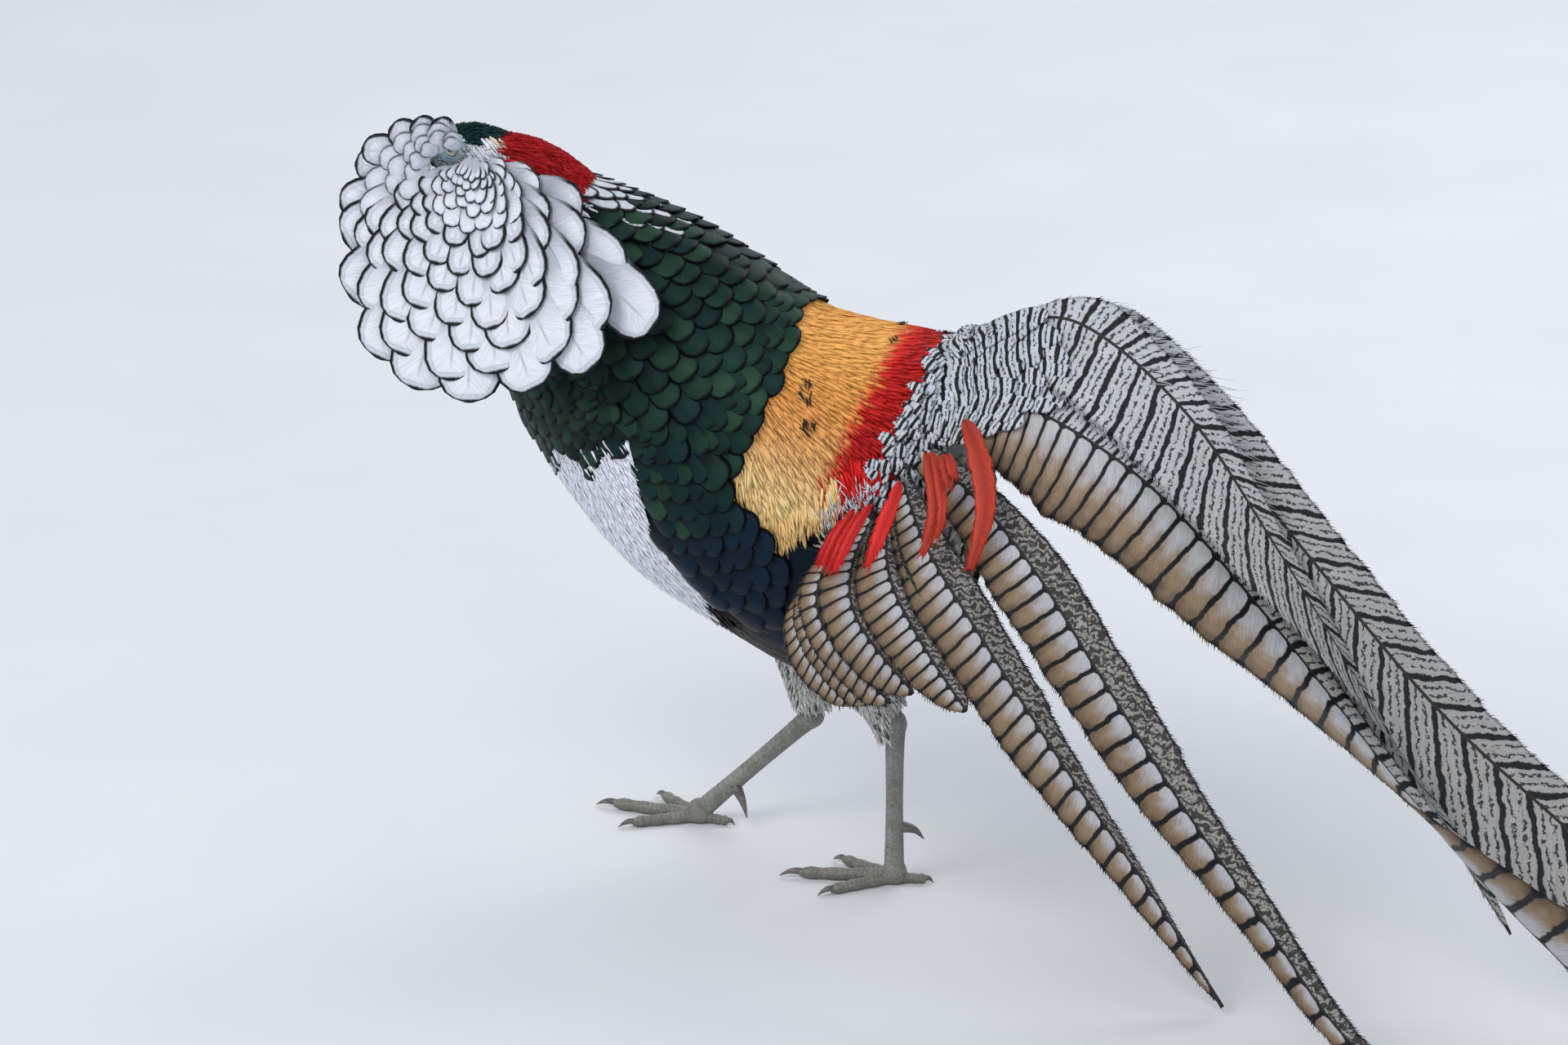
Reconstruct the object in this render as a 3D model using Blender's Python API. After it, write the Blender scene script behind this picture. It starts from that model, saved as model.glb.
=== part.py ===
"""A cock Lady Amherst's pheasant in its sideways display, life size: the solids of a still model.

Frame: metres, +Z up, the bird faces -X and shows its left side (-Y). The origin is on the floor under
the ball of its left foot. Sizes below are millimetres and degrees; MM makes them metres in a mesh.
"""

import math

import bmesh
import bpy
import numpy as np
from mathutils.bvhtree import BVHTree

MM = 0.001
GAP = 0.3  # kept between neighbouring nodes
THICK = 0.7  # of a vane
LYING = 1.2  # lowest height of a tail feather's shaft, where it lies along the floor

MID_Y = 30.0  # the bird's middle plane; its left foot stands at Y = 0, its right one at Y = 60
BODY_ROLL = 9.0  # the back leans towards the side that is shown

# Neck and body, front to rear: x and z of the back, x and z of the underside, half width
BODY_STATIONS = (
    (-194, 361, -228, 327, 19),
    (-165, 350, -222, 286, 32),
    (-135, 341, -207, 238, 46),
    (-105, 329, -181, 194, 57),
    (-76, 314, -145, 151, 62),
    (-49, 296, -102, 124, 63),
    (-20, 290, -60, 105, 61),
    (2, 288, -22, 101, 57),
    (15, 286, 10, 118, 50),
    (22, 282, 30, 150, 42),
    (27, 271, 38, 188, 32),
    (31, 252, 40, 215, 16),
)
NECK_END = 1.9  # station numbers where the body is parted
BREAST_END = 5.0
TORSO_END = 8.8

# Head from nape to bill: x, z, half height, half width
HEAD_STATIONS = (
    (-208, 345, 23, 19.5),
    (-217, 353, 22.5, 18.5),
    (-229, 361, 17.5, 14.5),
    (-241, 362.5, 13, 11.5),
    (-250, 360.5, 8, 7.5),
    (-254, 359.5, 4.5, 4.5),
)
BILL_ROOT = (-251.0, 359.6)
BILL_LENGTH = 26.0
EYE_RADIUS = 5.2
EYE_AT = (-236.5, 365.0)
EYE_SIDE = 8.6  # from the middle plane to the eyeball's centre

LEFT_LEG = {"hip": (-42, 12, 140), "ankle": (0, 0, 86), "ball": (0, 0, 5.2)}
RIGHT_LEG = {"hip": (-60, 50, 140), "ankle": (-59, 60, 64), "ball": (-120, 60, 5.2)}
SHANK_RADIUS = 4.2
TOES = ((-8.0, 50.0, 3.3), (30.0, 37.0, 3.0), (-44.0, 38.0, 3.0), (172.0, 17.0, 2.6))  # heading, length, radius

# The shafts of the shown tail feathers, innermost first, through these points
LEFT_SHAFTS = (
    ((8, 18, 258), (47, 14, 290), (90, 5, 303), (150, -17, 268), (203, -40, 207), (262, -61, 128), (330, -84, 36)),
    ((8, 4, 256), (38, 0, 261), (78, -14, 260), (140, -40, 234), (206, -69, 180), (284, -98, 104), (352, -124, 49),
     (420, -150, 9), (520, -188, 1.3)),
    ((6, -8, 240), (47, -36, 223), (86, -68, 198), (129, -104, 157), (177, -143, 111), (226, -178, 67),
     (272, -210, 26), (330, -246, 1.5)),
    ((4, -12, 228), (28, -52, 200), (64, -80, 163), (113, -108, 110), (158, -126, 60), (199, -136, 5)),
    ((1, -14, 219), (11, -60, 189), (31, -80, 162), (61, -100, 132)),
    ((-2, -14, 212), (-8, -56, 188), (-1, -72, 164), (31, -86, 134)),
    ((-5, -13, 206), (-24, -55, 180), (-17, -70, 155), (19, -84, 127)),
    ((-8, -10, 201), (-32, -50, 174), (-26, -66, 149), (6, -80, 124)),
    ((-10, -7, 197), (-35, -46, 169), (-31, -62, 144), (-4, -76, 121)),
)
LEFT_WEBS = ((33, 17), (38, 18), (27, 13), (22, 12), (20, 12), (18, 12), (16, 11), (15, 10), (12, 10))
RIGHT_FIRST_SHAFT = ((8, 26, 258), (52, 25, 289), (95, 18, 296), (150, 2, 262), (214, -24, 202), (282, -50, 140),
                     (343, -72, 98), (430, -102, 45), (510, -129, 9), (620, -166, 1.5))
RIGHT_FIRST_WEBS = (26, 17)
WEB_FOLD = 22.0  # how far the outer web of a shown feather is folded down from its inner one
# The hidden ones lie behind the first, moved back, down and forward as they leave the root: length, move
RIGHT_HIDDEN = ((560, 34), (460, 62), (360, 88), (250, 104), (190, 112), (150, 116), (125, 116), (108, 112))
HIDDEN_WAY = (-0.27, 1.0, -0.36)
RIGHT_ROOTS = ((6, 40, 259), (5, 50, 250), (4, 57, 240), (2, 62, 229), (0, 64, 219), (-2, 65, 210),
               (-4, 64, 203), (-6, 62, 197))

# Upper tail coverts, over the roots of the far side's first feather and of the first three shown ones
COVERT_REACH = (34, 40, 84, 40)  # how far they lie over each
COVERT_SPAN = (-0.1, 2.6)  # from the first to the last of those
COVERT_TIERS = ((1.0, 7, 5.8), (0.66, 6, 7.8))  # share of the reach, count, lift
# The long orange-red ones that hang down from among them
ORANGE_COVERTS = (
    ((38, -18, 268), (54, -38, 258), (66, -54, 232), (62, -66, 197)),
    ((26, -26, 254), (36, -42, 245), (46, -60, 224), (42, -72, 204)),
    ((16, -30, 243), (20, -48, 232), (16, -64, 212), (10, -74, 193)),
    ((8, -32, 234), (6, -50, 222), (-2, -64, 206), (-8, -72, 190)),
)
ORANGE_WIDTH = 5.5

# Display cape: reach of its rim from the hub by the angle from straight forward, turning down and back
CAPE_HUB = (-222.0, 10.0, 353.0)
CAPE_ANGLES = (-62, -25, 0, 40, 69, 93, 115, 130, 147, 162, 174, 187)
CAPE_REACH = (36, 52, 64, 76, 94, 100, 100, 106, 114, 130, 132, 78)
CAPE_STANDS = (4, 6, 8, 26, 48, 58, 62, 64, 60, 42, 14, -8)  # how far the rim stands out towards -Y
# Of each tier: share of the reach at the tip and at the root, count
CAPE_TIERS = ((1.0, 0.34, 11), (0.79, 0.28, 9), (0.58, 0.20, 8))
CAPE_STEP = 2.0  # from one tier to the next

COLOURS = {
    "white": (0.86, 0.87, 0.88),
    "green": (0.03, 0.11, 0.07),
    "blue": (0.02, 0.05, 0.09),
    "gold": (0.83, 0.42, 0.06),
    "barred": (0.55, 0.56, 0.56),
    "brown": (0.42, 0.31, 0.18),
    "crimson": (0.45, 0.01, 0.01),
    "grey": (0.38, 0.38, 0.36),
    "horn": (0.45, 0.46, 0.40),
    "eye": (0.75, 0.72, 0.55),
}

CREST_ROOT = (-215.0, 371.5)  # x and z
CREST_LENGTH = 52.0
CREST_PITCH = 4.6
CREST_ROWS = ((1.0, 5, 0.0), (0.8, 4, 1.7))  # reach, count, lift

ROUND_TIP = ((0.0, 0.85), (0.5, 0.96), (0.82, 0.92), (0.95, 0.62), (1.0, 0.30))
SLENDER_TIP = ((0.0, 0.9), (0.4, 0.96), (0.75, 0.8), (1.0, 0.12))
SMALL_TIP = ((0.0, 0.85), (0.55, 0.95), (0.88, 0.80), (1.0, 0.34))
COVERT_TIP = ((0.0, 0.85), (0.2, 0.9), (0.4, 0.94), (0.6, 0.95), (0.82, 0.84), (1.0, 0.36))
POINTED_TIP = ((0.0, 0.75), (0.4, 0.94), (0.75, 0.76), (1.0, 0.16))


def unit(v):
    v = np.asarray(v, float)
    return v / np.linalg.norm(v, axis=-1, keepdims=True)


def smooth(t):
    t = np.clip(t, 0.0, 1.0)
    return t * t * (3 - 2 * t)


def through(table, t):
    """The row at place t of a table, on a smooth curve through all its rows."""
    table = np.asarray(table, float)
    i = int(np.clip(math.floor(t), 0, len(table) - 2))
    u = t - i
    a, b = table[max(i - 1, 0)], table[i]
    c, d = table[i + 1], table[min(i + 2, len(table) - 1)]
    return b + 0.5 * u * (c - a + u * (2 * a - 5 * b + 4 * c - d + u * (3 * (b - c) + d - a)))


def mesh_object(name, points, faces):
    mesh = bpy.data.meshes.new(name)
    mesh.from_pydata([tuple(p) for p in np.asarray(points, float) * MM], [], [tuple(f) for f in faces])
    made = bmesh.new()
    made.from_mesh(mesh)
    bmesh.ops.recalc_face_normals(made, faces=made.faces)
    if made.calc_volume(signed=True) < 0:
        bmesh.ops.reverse_faces(made, faces=made.faces)
    made.to_mesh(mesh)
    made.free()
    obj = bpy.data.objects.new(name, mesh)
    bpy.context.scene.collection.objects.link(obj)
    return obj


def loft(name, rings):
    """A closed body through rings of equal count, its ends closed by flat fans."""
    rings = [np.asarray(r, float) for r in rings]
    count = len(rings[0])
    points = np.vstack(rings + [rings[0].mean(0)[None], rings[-1].mean(0)[None]])
    faces = []
    for i in range(len(rings) - 1):
        for j in range(count):
            a, b = i * count + j, i * count + (j + 1) % count
            faces += [(a, b, b + count), (a, b + count, a + count)]
    first, last = len(points) - 2, len(points) - 1
    end = (len(rings) - 1) * count
    for j in range(count):
        faces += [(first, (j + 1) % count, j), (last, end + j, end + (j + 1) % count)]
    return mesh_object(name, points, faces)


def tube(name, path, radii, sides=8, squash=1.0):
    """A round closed limb along a path. squash flattens it from the sides."""
    path = np.asarray(path, float)
    tangents = unit(np.gradient(path, axis=0))
    reference = np.array([0.0, -1.0, 0.0])
    if abs(unit(tangents.mean(0)) @ reference) > 0.8:
        reference = np.array([1.0, 0.0, 0.0])
    rings = []
    for p, d, r in zip(path, tangents, radii):
        side = unit(reference - d * (reference @ d))
        up = np.cross(d, side)
        angles = np.arange(sides) * 2 * math.pi / sides
        rings.append(p + r * (np.outer(np.cos(angles), up) + squash * np.outer(np.sin(angles), side)))
    return loft(name, rings)


def ball(name, centre, radius, segments, rings):
    """A round closed body. radius may be one size or three."""
    radius = np.broadcast_to(radius, 3)
    angles = np.linspace(0, math.pi, rings + 1)[1:-1]
    turn = np.arange(segments) * 2 * math.pi / segments
    points = [centre + radius * np.array([math.sin(a) * math.cos(b), math.sin(a) * math.sin(b), math.cos(a)])
              for a in angles for b in turn]
    points += [centre + radius * np.array([0, 0, 1]), centre - radius * np.array([0, 0, 1])]
    top, bottom = len(points) - 2, len(points) - 1
    faces = []
    for i in range(len(angles) - 1):
        for j in range(segments):
            a, b = i * segments + j, i * segments + (j + 1) % segments
            faces += [(a, a + segments, b + segments), (a, b + segments, b)]
    end = (len(angles) - 1) * segments
    for j in range(segments):
        faces += [(top, j, (j + 1) % segments), (bottom, end + (j + 1) % segments, end + j)]
    return mesh_object(name, points, faces)


def blade(name, left, middle, right, thick=THICK):
    """A feather's vane: a thin closed body over rows of three points. Both faces have the same triangles."""
    left, middle, right = (np.asarray(row, float) for row in (left, middle, right))
    facing = unit(np.cross(right - left, np.gradient(middle, axis=0)))
    half = facing * thick / 2
    rows = [row + half for row in (left, middle, right)] + [row - half for row in (left, middle, right)]
    count = len(middle)
    faces = []
    for i in range(count - 1):
        for j in range(2):
            a, b = j * count + i, (j + 1) * count + i
            faces += [(a, a + 1, b + 1), (a, b + 1, b)]
            a, b = a + 3 * count, b + 3 * count
            faces += [(a, b + 1, a + 1), (a, b, b + 1)]
        for a, b in ((0, 3 * count), (5 * count, 2 * count)):
            a, b = a + i, b + i
            faces += [(a, b, b + 1), (a, b + 1, a + 1)]
    for i, turn in ((0, 1), (count - 1, -1)):
        ends = [k * count + i for k in range(6)]
        for a, b in ((0, 1), (1, 2)):
            quad = (ends[a], ends[b], ends[b + 3], ends[a + 3])[::turn]
            faces += [quad[:3], (quad[0], quad[2], quad[3])]
    return mesh_object(name, np.vstack(rows), faces)


def laid_blade(name, surface, start, end, half, lift, shape, rise=0.0):
    """A vane laid on a surface(u, v, lift) from start to end, half a pitch wide to each side.
    Neighbours of one tier stay apart while shape is below 1."""
    rows = [[], [], []]
    for share, width in shape:
        u, v = start[0] + (end[0] - start[0]) * share, start[1] + (end[1] - start[1]) * share
        for row, side in zip(rows, (-1, 0, 1)):
            row.append(surface(u, v + side * half * width, lift + rise * share))
    return blade(name, *rows)


def largest_shell(obj):
    """Keeps the biggest closed surface of the mesh and drops sealed hollows and scraps."""
    made = bmesh.new()
    made.from_mesh(obj.data)
    left, shells = set(made.faces), []
    while left:
        stack, shell = [left.pop()], []
        while stack:
            face = stack.pop()
            shell.append(face)
            for edge in face.edges:
                for other in edge.link_faces:
                    if other in left:
                        left.remove(other)
                        stack.append(other)
        shells.append(shell)
    if len(shells) > 1:
        shells.sort(key=lambda s: sum(f.calc_area() for f in s), reverse=True)
        bmesh.ops.delete(made, geom=[f for s in shells[1:] for f in s], context="FACES")
    bmesh.ops.triangulate(made, faces=made.faces)
    made.to_mesh(obj.data)
    made.free()


def boolean(obj, others, operation, solver="MANIFOLD"):
    """Joins or cuts obj with all the others at once, and removes them."""
    group = bpy.data.collections.new("operands")
    bpy.context.scene.collection.children.link(group)
    for other in others:
        bpy.context.scene.collection.objects.unlink(other)
        group.objects.link(other)
    modifier = obj.modifiers.new("join", "BOOLEAN")
    modifier.operation = operation
    modifier.operand_type = "COLLECTION"
    modifier.collection = group
    modifier.solver = solver
    bpy.context.view_layer.update()
    graph = bpy.context.evaluated_depsgraph_get()
    joined = bpy.data.meshes.new_from_object(obj.evaluated_get(graph))
    obj.modifiers.clear()
    old, obj.data = obj.data, joined
    bpy.data.meshes.remove(old)
    for other in others:
        bpy.data.objects.remove(other)
    bpy.data.collections.remove(group)
    largest_shell(obj)


def fuse(name, pieces):
    """One node from overlapping closed pieces, the first of which is its core."""
    core = pieces[0]
    if len(pieces) > 1:
        boolean(core, pieces[1:], "UNION")
    core.name = name
    return core


def cut_clear(obj, *others):
    """Cuts obj back to the gap from each of the other solids, which are smooth ones."""
    for other in others:
        grown = bpy.data.objects.new("grown", other.data.copy())
        bpy.context.scene.collection.objects.link(grown)
        for vertex in grown.data.vertices:
            vertex.co += vertex.normal * GAP * MM
        boolean(obj, [grown], "DIFFERENCE")


def tree_of(*solids):
    """The surfaces of some solids, to be asked for their nearest points."""
    joined = bmesh.new()
    for obj in solids:
        joined.from_mesh(obj.data)
    tree = BVHTree.FromBMesh(joined)
    joined.free()
    return tree


def box(name, low, high):
    points = [(x, y, z) for x in (low[0], high[0]) for y in (low[1], high[1]) for z in (low[2], high[2])]
    faces = [(0, 1, 3, 2), (4, 6, 7, 5), (0, 4, 5, 1), (2, 3, 7, 6), (0, 2, 6, 4), (1, 5, 7, 3)]
    return mesh_object(name, points, faces)


def paint(obj, colour, roughness=0.6):
    material = bpy.data.materials.new(obj.name)
    material.use_nodes = True
    shader = material.node_tree.nodes["Principled BSDF"]
    shader.inputs["Base Color"].default_value = (*COLOURS[colour], 1.0)
    shader.inputs["Roughness"].default_value = roughness
    obj.data.materials.clear()
    obj.data.materials.append(material)
    return obj


def body_point(t, angle, lift=0.0):
    """A point on the body: angle 0 is the back, 90 the left side (-Y), 180 the underside."""
    top_x, top_z, low_x, low_z, wide = through(BODY_STATIONS, t)
    centre = np.array([(top_x + low_x) / 2, MID_Y, (top_z + low_z) / 2])
    up = np.array([top_x - low_x, 0.0, top_z - low_z]) / 2
    high = np.linalg.norm(up)
    turn = math.radians(BODY_ROLL * float(smooth((t - 1.0) / 3.0)))
    side = np.array([0.0, -1.0, 0.0])
    up, side = (
        up / high * math.cos(turn) + side * math.sin(turn),
        side * math.cos(turn) - up / high * math.sin(turn),
    )
    a = math.radians(angle)
    normal = unit(up * math.cos(a) / high + side * math.sin(a) / wide)
    return centre + up * high * math.cos(a) + side * wide * math.sin(a) + normal * lift


def body_segment(name, start, end, sides, rings):
    """A length of neck or body between two stations, half a gap short of each cut."""
    reach = np.linalg.norm(body_point(start + 0.1, 90) - body_point(start, 90)) * 10
    places = np.linspace(start + GAP * 0.75 / reach, end - GAP * 0.75 / reach, rings)
    return loft(name, [[body_point(t, 360 * (j + 0.5) / sides) for j in range(sides)] for t in places])


def build_body():
    neck = paint(body_segment("neck", 0.0, NECK_END, 18, 4), "white")
    front = paint(body_segment("torso_front", NECK_END, BREAST_END, 22, 8), "green", 0.35)
    rear = paint(body_segment("torso_rear", BREAST_END, TORSO_END, 22, 8), "gold")
    tail_base = paint(body_segment("tail_base", TORSO_END, 10.96, 22, 6), "barred")
    return neck, front, rear, tail_base


def head_ring(t, sides):
    x, z, high, wide = through(HEAD_STATIONS, t)
    ahead = through(HEAD_STATIONS, min(t + 0.3, len(HEAD_STATIONS) - 1))
    behind = through(HEAD_STATIONS, max(t - 0.3, 0))
    along = unit((ahead[0] - behind[0], 0.0, ahead[1] - behind[1]))
    up = np.array([-along[2], 0.0, along[0]]) * (1 if along[0] > 0 else -1)
    angles = np.radians(np.arange(sides) * 360 / sides)
    centre = np.array([x, MID_Y, z])
    return centre + np.outer(np.cos(angles), up) * high + np.outer(np.sin(angles), (0, -1, 0)) * wide


def ring_tube(name, centres, radius, sides=6):
    """A closed ring of round section, as an eyelid's rim."""
    centres = np.asarray(centres, float)
    count, middle = len(centres), centres.mean(0)
    points, faces = [], []
    for i, c in enumerate(centres):
        out = unit(c - middle)
        up = np.cross(out, unit(centres[(i + 1) % count] - centres[i - 1]))
        for a in np.arange(sides) * 2 * math.pi / sides:
            points.append(c + radius * (out * math.cos(a) + up * math.sin(a)))
    for i in range(count):
        for j in range(sides):
            a, b = i * sides + j, i * sides + (j + 1) % sides
            c, d = ((i + 1) % count) * sides + j, ((i + 1) % count) * sides + (j + 1) % sides
            faces += [(a, b, d), (a, d, c)]
    return mesh_object(name, points, faces)


def build_head(neck):
    """Skull with lids and nostril flaps, eyes in their sockets, and the two halves of the bill."""
    skull = loft("head", [head_ring(t, 16) for t in np.linspace(0.05, len(HEAD_STATIONS) - 1, 9)])
    pieces, eyes, sockets = [skull], [], []
    for side, word in ((-1, "left"), (1, "right")):
        centre = np.array([EYE_AT[0], MID_Y + side * EYE_SIDE, EYE_AT[1]])
        lid = [centre + np.array([math.cos(a) * 5.6, side * 2.6, math.sin(a) * 4.8])
               for a in np.linspace(0, 2 * math.pi, 11)[:-1]]
        pieces.append(ring_tube("lid", lid, 1.1, 5))
        eyes.append(paint(ball("eye_" + word, centre, EYE_RADIUS, 10, 7), "eye", 0.08))
        sockets.append(ball("socket", centre, EYE_RADIUS + GAP, 10, 7))
        nostril = np.array([BILL_ROOT[0] - 1.0, MID_Y + side * 3.2, BILL_ROOT[1] + 3.4])
        pieces.append(ball("nostril_flap", nostril, (3.4, 1.6, 1.7), 6, 4))
    head = fuse("head", pieces)
    boolean(head, sockets, "DIFFERENCE")
    cut_clear(head, neck)
    build_bill(head)
    return paint(head, "green", 0.4), eyes


def build_bill(head):
    """Upper half with an arched ridge and a hooked tip, lower half under it, the mouth's line between."""
    along = np.array([-0.96, 0.0, -0.28])
    up = np.array([-0.28, 0.0, 0.96])
    side = np.array([0.0, -1.0, 0.0])
    root = np.array([BILL_ROOT[0], MID_Y, BILL_ROOT[1]])
    shares = (-0.12, 0.15, 0.4, 0.65, 0.86, 1.0)
    ridge = (5.4, 5.0, 4.2, 2.9, 1.1, -1.2)
    mouth = (-0.4, -0.4, -0.5, -0.9, -1.6, -2.2)
    wide = (4.9, 4.3, 3.5, 2.6, 1.6, 0.5)
    arch = np.linspace(0, math.pi, 7)
    upper, lower = [], []
    for share, top, cut, half in zip(shares, ridge, mouth, wide):
        centre = root + along * BILL_LENGTH * share
        upper.append([centre + up * (cut + (top - cut) * math.sin(a)) + side * half * math.cos(a) for a in arch])
        if share < 0.9:
            depth = 3.6 * (1 - share) ** 0.6 + 0.7
            lower.append([centre + up * (cut - GAP - depth * math.sin(a)) + side * half * 0.86 * math.cos(a)
                          for a in arch])
    for name, rings in (("bill_upper", upper), ("bill_lower", lower)):
        bill = loft(name, rings)
        cut_clear(bill, head)
        paint(bill, "horn", 0.35)


def crest_surface(share, across, lift):
    """The crest lies in a low arch from the crown down the nape."""
    x = CREST_ROOT[0] + CREST_LENGTH * share
    z = CREST_ROOT[1] - 0.42 * CREST_LENGTH * share + 26.0 * share * (1 - share)
    spread = across * (0.7 + 0.5 * share)
    return np.array([x, MID_Y - 3.0 * share + spread, z - 0.022 * spread * spread + lift])


def build_crest(head, neck):
    """Long, narrow, tapering crimson feathers from the crown back over the nape."""
    pieces = [ball("crest_core", crest_surface(0.06, 0.0, -1.0), (8.0, 9.5, 4.6), 10, 6)]
    for tip, count, lift in CREST_ROWS:
        for j in range(count):
            across = CREST_PITCH * (j - (count - 1) / 2)
            reach = tip - 0.04 * abs(j - (count - 1) / 2)
            pieces.append(laid_blade("crest_vane", crest_surface, (0.0, across), (reach, across),
                                     CREST_PITCH / 2, lift, SLENDER_TIP))
    crest = fuse("crest", pieces)
    cut_clear(crest, head, neck)
    return paint(crest, "crimson", 0.45)


def cape_surface(tree):
    """The display cape as a surface of the share of its reach, the angle round its hub and the lift off it."""

    def point(share, angle, lift):
        a = math.radians(angle)
        reach = float(np.interp(angle, CAPE_ANGLES, CAPE_REACH)) * share
        x, z = CAPE_HUB[0] - reach * math.cos(a), CAPE_HUB[2] - reach * math.sin(a)
        stands = float(np.interp(angle, CAPE_ANGLES, CAPE_STANDS)) * float(smooth(0.15 + 0.85 * share))
        hit = tree.ray_cast((x * MM, -0.5, z * MM), (0, 1, 0))[0]
        near = MID_Y if hit is None else hit.y / MM - 3.0
        return np.array([x, min(CAPE_HUB[1] - stands, near) - lift, z])

    return point


def slab(name, outer, inner):
    """A closed sheet between two grids of points with the same rows and columns."""
    outer, inner = np.asarray(outer, float), np.asarray(inner, float)
    rows, columns = outer.shape[:2]
    back = rows * columns
    faces = []
    for i in range(rows - 1):
        for j in range(columns - 1):
            a, b, c, d = i * columns + j, i * columns + j + 1, (i + 1) * columns + j + 1, (i + 1) * columns + j
            faces += [(a, b, c), (a, c, d), (back + a, back + c, back + b), (back + a, back + d, back + c)]
    rim = [(0, j) for j in range(columns)] + [(i, columns - 1) for i in range(1, rows)]
    rim += [(rows - 1, j) for j in range(columns - 2, -1, -1)] + [(i, 0) for i in range(rows - 2, 0, -1)]
    rim = [i * columns + j for i, j in rim]
    for a, b in zip(rim, rim[1:] + rim[:1]):
        faces += [(a, back + a, back + b), (a, back + b, b)]
    return mesh_object(name, np.vstack([outer.reshape(-1, 3), inner.reshape(-1, 3)]), faces)


def build_cape(tree, head, neck, front):
    """The cape fanned over the shown side of head and neck, in tiers of broad round-ended feathers."""
    surface = cape_surface(tree)
    turn = np.linspace(CAPE_ANGLES[0] + 6, CAPE_ANGLES[-1] - 4, 19)
    core = slab(
        "cape_core",
        [[surface(s, a, 10.0 - 18.0 * s) for a in turn] for s in (0.05, 0.22, 0.40)],
        [[surface(s, a, sink) for a in turn] for s, sink in ((0.05, -13.0), (0.22, -8.0), (0.40, -1.0))],
    )
    pieces = [core]
    for tier, (reach, root, count) in enumerate(CAPE_TIERS):
        pitch = (CAPE_ANGLES[-1] - CAPE_ANGLES[0] - 4) / (count + 0.5)
        for j in range(count):
            angle = CAPE_ANGLES[0] + 2 + pitch * (j + (1.0 if tier % 2 else 0.5))
            lift = 0.6 + CAPE_STEP * tier
            shape = ROUND_TIP if tier < 2 else SMALL_TIP
            pieces.append(laid_blade("cape_vane", surface, (root, angle), (reach, angle), pitch / 2, lift, shape))
    cape = fuse("cape_left", pieces)
    cut_clear(cape, head, neck, front)
    return paint(cape, "white", 0.5)


def build_right_cape(head, neck, front):
    """The cape's other half, lying back over nape and far side of the neck."""
    turn = np.linspace(-18, -122, 11)
    core = slab(
        "cape_core",
        [[body_point(t, a, lift) for a in turn] for t, lift in ((0.3, 8.6), (0.8, 7.0), (1.35, 4.0))],
        [[body_point(t, a, -1.5) for a in turn] for t in (0.3, 0.8, 1.35)],
    )
    pieces = [core]
    for tier, (tip, root, count) in enumerate(((2.8, 1.1, 6), (2.2, 0.8, 5), (1.55, 0.5, 4))):
        pitch = 102 / (count + 0.5)
        for j in range(count):
            angle = -19 - pitch * (j + (1.0 if tier % 2 else 0.5))
            pieces.append(laid_blade("cape_vane", body_point, (root, angle), (tip, angle), pitch / 2,
                                     1.6 + 2.0 * tier, SMALL_TIP, rise=1.0))
    cape = fuse("cape_right", pieces)
    cut_clear(cape, head, neck, front)
    return paint(cape, "white", 0.5)


def build_wing(word, side, *beside):
    """A closed wing against the flank: primaries, secondaries and two rows of coverts over a thin core."""
    turn = np.linspace(138, 88, 6) * side
    places = ((3.5, 0.8), (3.9, 7.6), (4.7, 8.0), (5.3, 5.0))
    core = slab(
        "wing_core",
        [[body_point(t, a, lift) for a in turn] for t, lift in places],
        [[body_point(t, a, -1.5) for a in turn] for t, lift in places],
    )
    pieces = [core]
    # Tip and root station, lowest and highest angle, count and lift of each row
    rows = ((6.5, 4.9, 136, 112, 4, 1.6), (6.1, 4.7, 122, 90, 3, 3.4), (5.8, 4.0, 138, 90, 5, 5.6))
    for tip, root, low, high, count, lift in rows:
        pitch = (low - high) / count
        for j in range(count):
            angle = (high + pitch * (j + 0.5)) * side
            pieces.append(laid_blade("wing_vane", body_point, (root, angle), (tip - 0.08 * j, angle - 5 * side),
                                     pitch / 2, lift, POINTED_TIP if tip > 6 else SMALL_TIP))
    wing = fuse("wing_" + word, pieces)
    cut_clear(wing, *beside)
    return paint(wing, "blue", 0.4)


def build_leg(word, places, inward, rear):
    """Feathered thigh, bare shank with its spur, and a foot of four toes with their claws."""
    hip, ankle, sole = (np.array(places[k], float) for k in ("hip", "ankle", "ball"))
    knee = hip + (ankle - hip) * 0.62
    down = unit(sole - ankle)
    thigh = tube("thigh_" + word, [hip, hip + (knee - hip) * 0.5, knee, ankle + unit(knee - ankle) * 5.0],
                 (28, 22, 13.0, 6.4), 12, 0.8)
    shank_path = [ankle + (knee - ankle) * 0.10, ankle, ankle + (sole - ankle) * 0.12,
                  ankle + (sole - ankle) * 0.55, sole]
    spur_root = ankle + (sole - ankle) * 0.70
    back = unit(np.array([1.0, 0.35 * inward, 0.0]) - down * down[0])
    spur = [spur_root, spur_root + back * 6, spur_root + back * 11 - (0, 0, 2.0), spur_root + back * 15 - (0, 0, 6.5)]
    shank = fuse("shank_" + word, [tube("shank", shank_path, (4.6, 6.0, 4.8, SHANK_RADIUS, 5.0), 10, 0.82),
                                   tube("spur", spur, (3.4, 2.8, 1.7, 0.4), 7)])
    foot = build_foot("foot_" + word, sole, inward)
    cut_clear(thigh, rear)
    cut_clear(shank, thigh, foot)
    for obj in (thigh, shank, foot):
        paint(obj, "grey", 0.7)
    return thigh


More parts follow.
